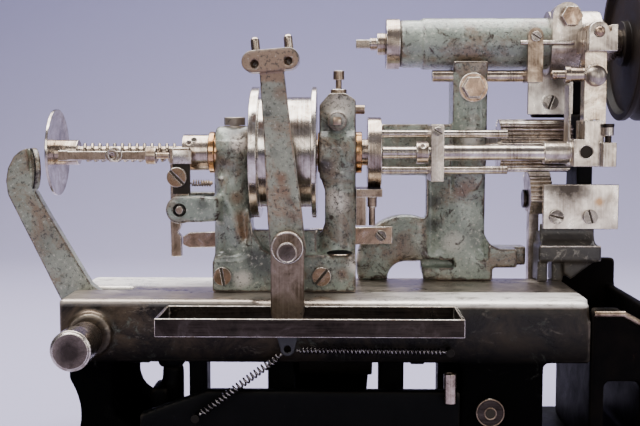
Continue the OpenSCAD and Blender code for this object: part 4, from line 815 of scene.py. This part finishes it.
FRONT = (0, -1, 0)
UP = (0, 0, 1)
LEFT = (-1, 0, 0)
OIL_HOLE = (0, -0.69, 0.72)
PAD = (-0.891, -0.454, 0)
CHUTE_SLOPE = (0.88, 0, -0.47)
FITTINGS = [
    # Painted shade: a black disc in the oil hole.
    ("collar_oil_hole_shade", "spindle", IRON_AND_SHADE, "dark_steel", [(rod, (-97.4, -7.45, 188.5), OIL_HOLE, 1.7, 0.5)]),
    ("collar_hole_rim", "spindle", EDGE_WEAR_AND_GLINT, "bare_steel", [(ring, (-97.4, -7.6, 188.65), OIL_HOLE, 1.85, 0.22)]),
    ("latch_cap", "latch", EDGE_WEAR_AND_GLINT, "bare_steel", [(block, (-108.2, -20.4, 174.9), (-97.4, -18.4, 182.8))]),
    ("latch_dark_stem", "latch", IRON_AND_SHADE, "black_iron",
     [(block, (-108.4, -19.5, 157.4), (-98.4, -18.5, 174.6))]),
    ("ear_pin_ring", "root", IRON_AND_SHADE, "black_iron", [(ring, (-103.6, -27, 148.5), FRONT, 3.3, 0.6)]),
    ("cap_neck", "root", DARK_PAINT, "green_paint", [(rod, (-74, 0, 194.5), UP, 6.3, 5)]),
    ("latch_stud", "root", BROWN, "brown_steel", [(rod, (-88.7, -15.5, 163.5), LEFT, 1.1, 6)]),
    ("bearing_plug", "root", BROWN, "brown_steel", [(block, (-15.2, -22.6, 197.2), (-10.4, -12, 202))]),
    ("foot_lip", "root", IRON_AND_SHADE, "black_iron", [(dome, (-11.4, -15.6, 122.6), UP, 7.6, 1.8)]),
    ("foot_shine", "root", TURNED, "bare_steel", [(dome, (-11.4, -16.6, 122.2), UP, 7.0, 1.2)]),
    ("knob_rim", "root", EDGE_WEAR_AND_GLINT, "bare_steel", [(ring, (-40, -60.2, 128), FRONT, 5.3, 0.35)]),
    # Painted highlight: a bright ring for the shine on the bar's rounded top.
    ("bar_lip_highlight", "belt_shifter", EDGE_WEAR_AND_GLINT, "bare_steel", [(ring, (-40, -56.9, 130.2), FRONT, 8.4, 0.6)]),
    ("link_eye", "push_rod", EDGE_WEAR_AND_GLINT, "bare_steel", [(ring, (-142.3, -17.9, 180.3), FRONT, 4.0, 0.45)]),
    # Painted shade: a black disc that darkens the hole.
    ("head_hole_shade", "tool_spindle", IRON_AND_SHADE, "black_iron", [(rod, (132.7, -9.2, 181.6), FRONT, 3.85, 1.0)]),
    # Painted highlight: a bright ring for the glint at the hole's lip.
    ("head_hole_glint_rim", "tool_spindle", EDGE_WEAR_AND_GLINT, "bare_steel", [(ring, (132.7, -11, 181.6), FRONT, 3.9, 0.25)]),
    ("thumb_screw", "tool_spindle", DARK, "dark_steel", [(rod, (144.4, -14, 189.5), UP, 1.9, 5),
                                                          (rod, (144.4, -14, 194.2), UP, 2.2, 5, 3.4),
                                                          (rod, (144.4, -14, 197.4), UP, 3.4, 1.4)]),
    ("lever_ball", "tool_lever", PLATE, "bare_steel", [(dome, (138.6, -6.6, 226), FRONT, 6.2, 4.4)]),
    ("lever_nipple_ring", "tool_lever", BRONZE, "bronze", [(ring, (123.4, 0, 227), LEFT, 3.4, 1.0)]),
    ("lever_nipple_ball", "tool_lever", COPPERY, "coppery_steel",
     [(dome, (115.6, 0, 226.8), LEFT, 2.7, 2.7)]),
    ("pivot_pin", "tool_lever", COPPERY, "coppery_steel", [(dome, (138.6, -12.2, 251.3), FRONT, 2.9, 1.6)]),
    ("bed_screw_face", "root", DARK, "dark_steel", [(rod, (73, -51, 37), FRONT, 7.4, 0.5, 7.0)]),
    ("bed_screw_rings", "root", BROWN, "brown_steel", [(ring, (73, -51, 37), FRONT, 7.6, 0.4),
                                                       (ring, (73, -51.2, 36.6), FRONT, 3.2, 0.5)]),
    # Painted shade: a black disc in the screw's centre hole.
    ("bed_screw_hole_shade", "root", IRON_AND_SHADE, "black_iron", [(rod, (73, -51.2, 36.6), FRONT, 2.6, 0.6)]),
    # Painted shade: black bars on the floors of the screw slots.
    ("screw_slot_shade", "root", IRON_AND_SHADE, "black_iron", [(slot_shade, -79.3, 109.8, -25.4, 5.3, 3.4, 80),
                                                 (slot_shade, -21.8, 109.8, -25.4, 5.5, 3.4, -50),
                                                 (slot_shade, 14.3, 129, 19.7, 3.4, 2, 45),
                                                 (slot_shade, 106.9, 250.6, 12.6, 3.1, 2, 30),
                                                 (slot_shade, 46.4, 193.5, -9.4, 2.8, 2.4, 30),
                                                 (slot_shade, 123.5, 211.8, 48.6, 4.8, 2.4, -70),
                                                 (slot_shade, 122.7, 140.9, 19.6, 4.5, 2.4, 14),
                                                 (slot_shade, 143.4, 140.9, 19.6, 4.5, 2.4, 73)]),
    ("pad_face", "hook_lever", EDGE_WEAR_AND_GLINT, "bare_steel", [(rod, (-195.0, -5.8, 171.3), PAD, 11.3, 0.9)]),
    ("pad_rim", "hook_lever", IRON_AND_SHADE, "black_iron", [(ring, (-194.8, -5.7, 171.3), PAD, 11.8, 0.6)]),
    ("handle_sleeve", "hook_lever", KNOB, "coppery_steel", [(rod, (-151, -70.3, 80.3), FRONT, 9.4, 19.6)]),
    # Painted shade: a black bar in the latch screw's slot.
    ("latch_slot_shade", "latch", IRON_AND_SHADE, "black_iron", [(slot_shade, -105.7, 167.2, -23, 5.8, 4, 45)]),
    ("chute_lip", "root", BROWN, "brown_steel", [(rod, (139, -47.6, 92.6), LEFT, 1.7, 17),
                                                 (rod, (151.4, -47.6, 90), CHUTE_SLOPE, 1.7, 10.4)]),
    # Painted highlight: a bright rod along the top front edge of the pedestal's plate.
    ("pedestal_edge_highlight", "root", EDGE_WEAR_AND_GLINT, "bare_steel", [(rod, (131, 18.5, 122.6), LEFT, 0.6, 37)]),
]
for name, body, material, slot, parts in FITTINGS:
    bm = bmesh.new()
    for shape, *values in parts:
        shape(bm, *values)
    made = piece(name, bm, body, material)
    made.data.set_sharp_from_angle(angle=math.radians(40))
print("fittings:", len(FITTINGS))

# %% [markdown]
# A product photograph is lit by big soft boxes. The strongest one hangs over the machine and a little
# behind it, which turns every top face nearly white. A wide weak one in front lights what looks at us,
# and one low on the right stands where the flat faces of the tool side mirror it, so they turn cream.
# Each row has a light's place, what it looks at, its size in metres, its watts and its colour.

# %% Light
def soft_box(name, place, target, size, watts, colour):
    """A lit rectangle that faces a target."""
    data = bpy.data.lights.new(name, "AREA")
    data.shape = "RECTANGLE"
    data.size, data.size_y = size
    data.energy = watts
    data.color = colour
    made = bpy.data.objects.new(name, data)
    made.location = place
    made.rotation_euler = (Vector(target) - Vector(place)).to_track_quat("-Z", "Y").to_euler()
    bpy.context.scene.collection.objects.link(made)


MIDDLE = (0, 0, 0.16)
SOFT_BOXES = [
    ("roof", (-0.1, 0.2, 1.0), (-0.05, 0.05, 0), (1.4, 1.0), 42, (1.0, 0.99, 0.98)),
    ("front", (-0.45, -1.15, 0.62), MIDDLE, (0.9, 0.5), 5.5, (1.0, 0.985, 0.96)),
    ("mirror", (0.46, -1.25, 0.24), (0.12, 0, 0.18), (0.55, 0.5), 3, (1.0, 0.97, 0.93)),
    ("side", (1.0, -0.55, 0.5), MIDDLE, (0.35, 0.7), 3, (0.98, 0.98, 1.0)),
    ("wall", (0, 0.75, 1.5), (0, 1.5, 0.2), (2.4, 0.4), 5, (0.9, 0.9, 1.0)),
]
for row in SOFT_BOXES:
    soft_box(*row)
print("lights:", len(SOFT_BOXES))

# %% [markdown]
# The room itself is dark, so undersides go black. Its light comes from a sky that is pale above and
# nearly black below, which bare metal mirrors as the walls of a studio.

# %% Room
world = bpy.data.worlds.new("studio")
bpy.context.scene.world = world
world.use_nodes = True
sky = world.node_tree
direction = sky.nodes.new("ShaderNodeTexCoord").outputs["Generated"]
tone = mix(sky, span(sky, along(sky, direction, "Z"), -0.25, 0.6), rgb(30, 28, 30), rgb(176, 174, 184))
sky.links.new(tone, sky.nodes["Background"].inputs["Color"])
sky.nodes["Background"].inputs["Strength"].default_value = 0.55
print("room made")

# %% [markdown]
# The floor is one sheet of paper, as in a studio: flat under the machine, then curved up behind it, so
# that no line cuts the background. An edge is drawn out along the floor, spun through a quarter turn
# and drawn out again up the wall.

# %% Paper floor
def only(parts, kind):
    """The vertices, or the edges, among the parts that an operator made."""
    return [part for part in parts if isinstance(part, kind)]


def paper(half_width, front, back, bend, top):
    """A bmesh of the sheet, in metres: flat from front to back, then bent to a radius and up."""
    bm = bmesh.new()
    near = [bm.verts.new((side * half_width, front, 0)) for side in (-1, 1)]
    out = bmesh.ops.extrude_edge_only(bm, edges=[bm.edges.new(near)])["geom"]
    moved = only(out, bmesh.types.BMVert)
    bmesh.ops.translate(bm, verts=moved, vec=(0, back - front, 0))
    last = [edge for edge in only(out, bmesh.types.BMEdge) if all(vert.co.y > 0 for vert in edge.verts)]
    spun = bmesh.ops.spin(bm, geom=last + moved, cent=(0, back, bend), axis=(1, 0, 0), angle=math.pi / 2,
                          steps=24, use_duplicate=False)["geom_last"]
    wall = bmesh.ops.extrude_edge_only(bm, edges=only(spun, bmesh.types.BMEdge))["geom"]
    bmesh.ops.translate(bm, verts=only(wall, bmesh.types.BMVert), vec=(0, 0, top - bend))
    return bm


bm = paper(half_width=5.0, front=-5.0, back=0.9, bend=0.6, top=2.4)
mesh = bpy.data.meshes.new("paper")
for face in bm.faces:
    face.smooth = True
bm.to_mesh(mesh)
bm.free()
material, tree, shader, place = new_finish("paper", 0.0)
fibre = calc(tree, grain(tree, place, 30, detail=3), 0.06)
sheet = mix(tree, height(tree, place, 0.0, 0.5), rgb(158, 153, 181), rgb(157, 154, 194))
tree.links.new(mix(tree, fibre, sheet, rgb(190, 188, 210)), shader.inputs["Base Color"])
shader.inputs["Roughness"].default_value = 0.9
mesh.materials.append(material)
floor = bpy.data.objects.new("paper_floor", mesh)
bpy.context.scene.collection.objects.link(floor)
print("paper faces:", len(mesh.polygons))
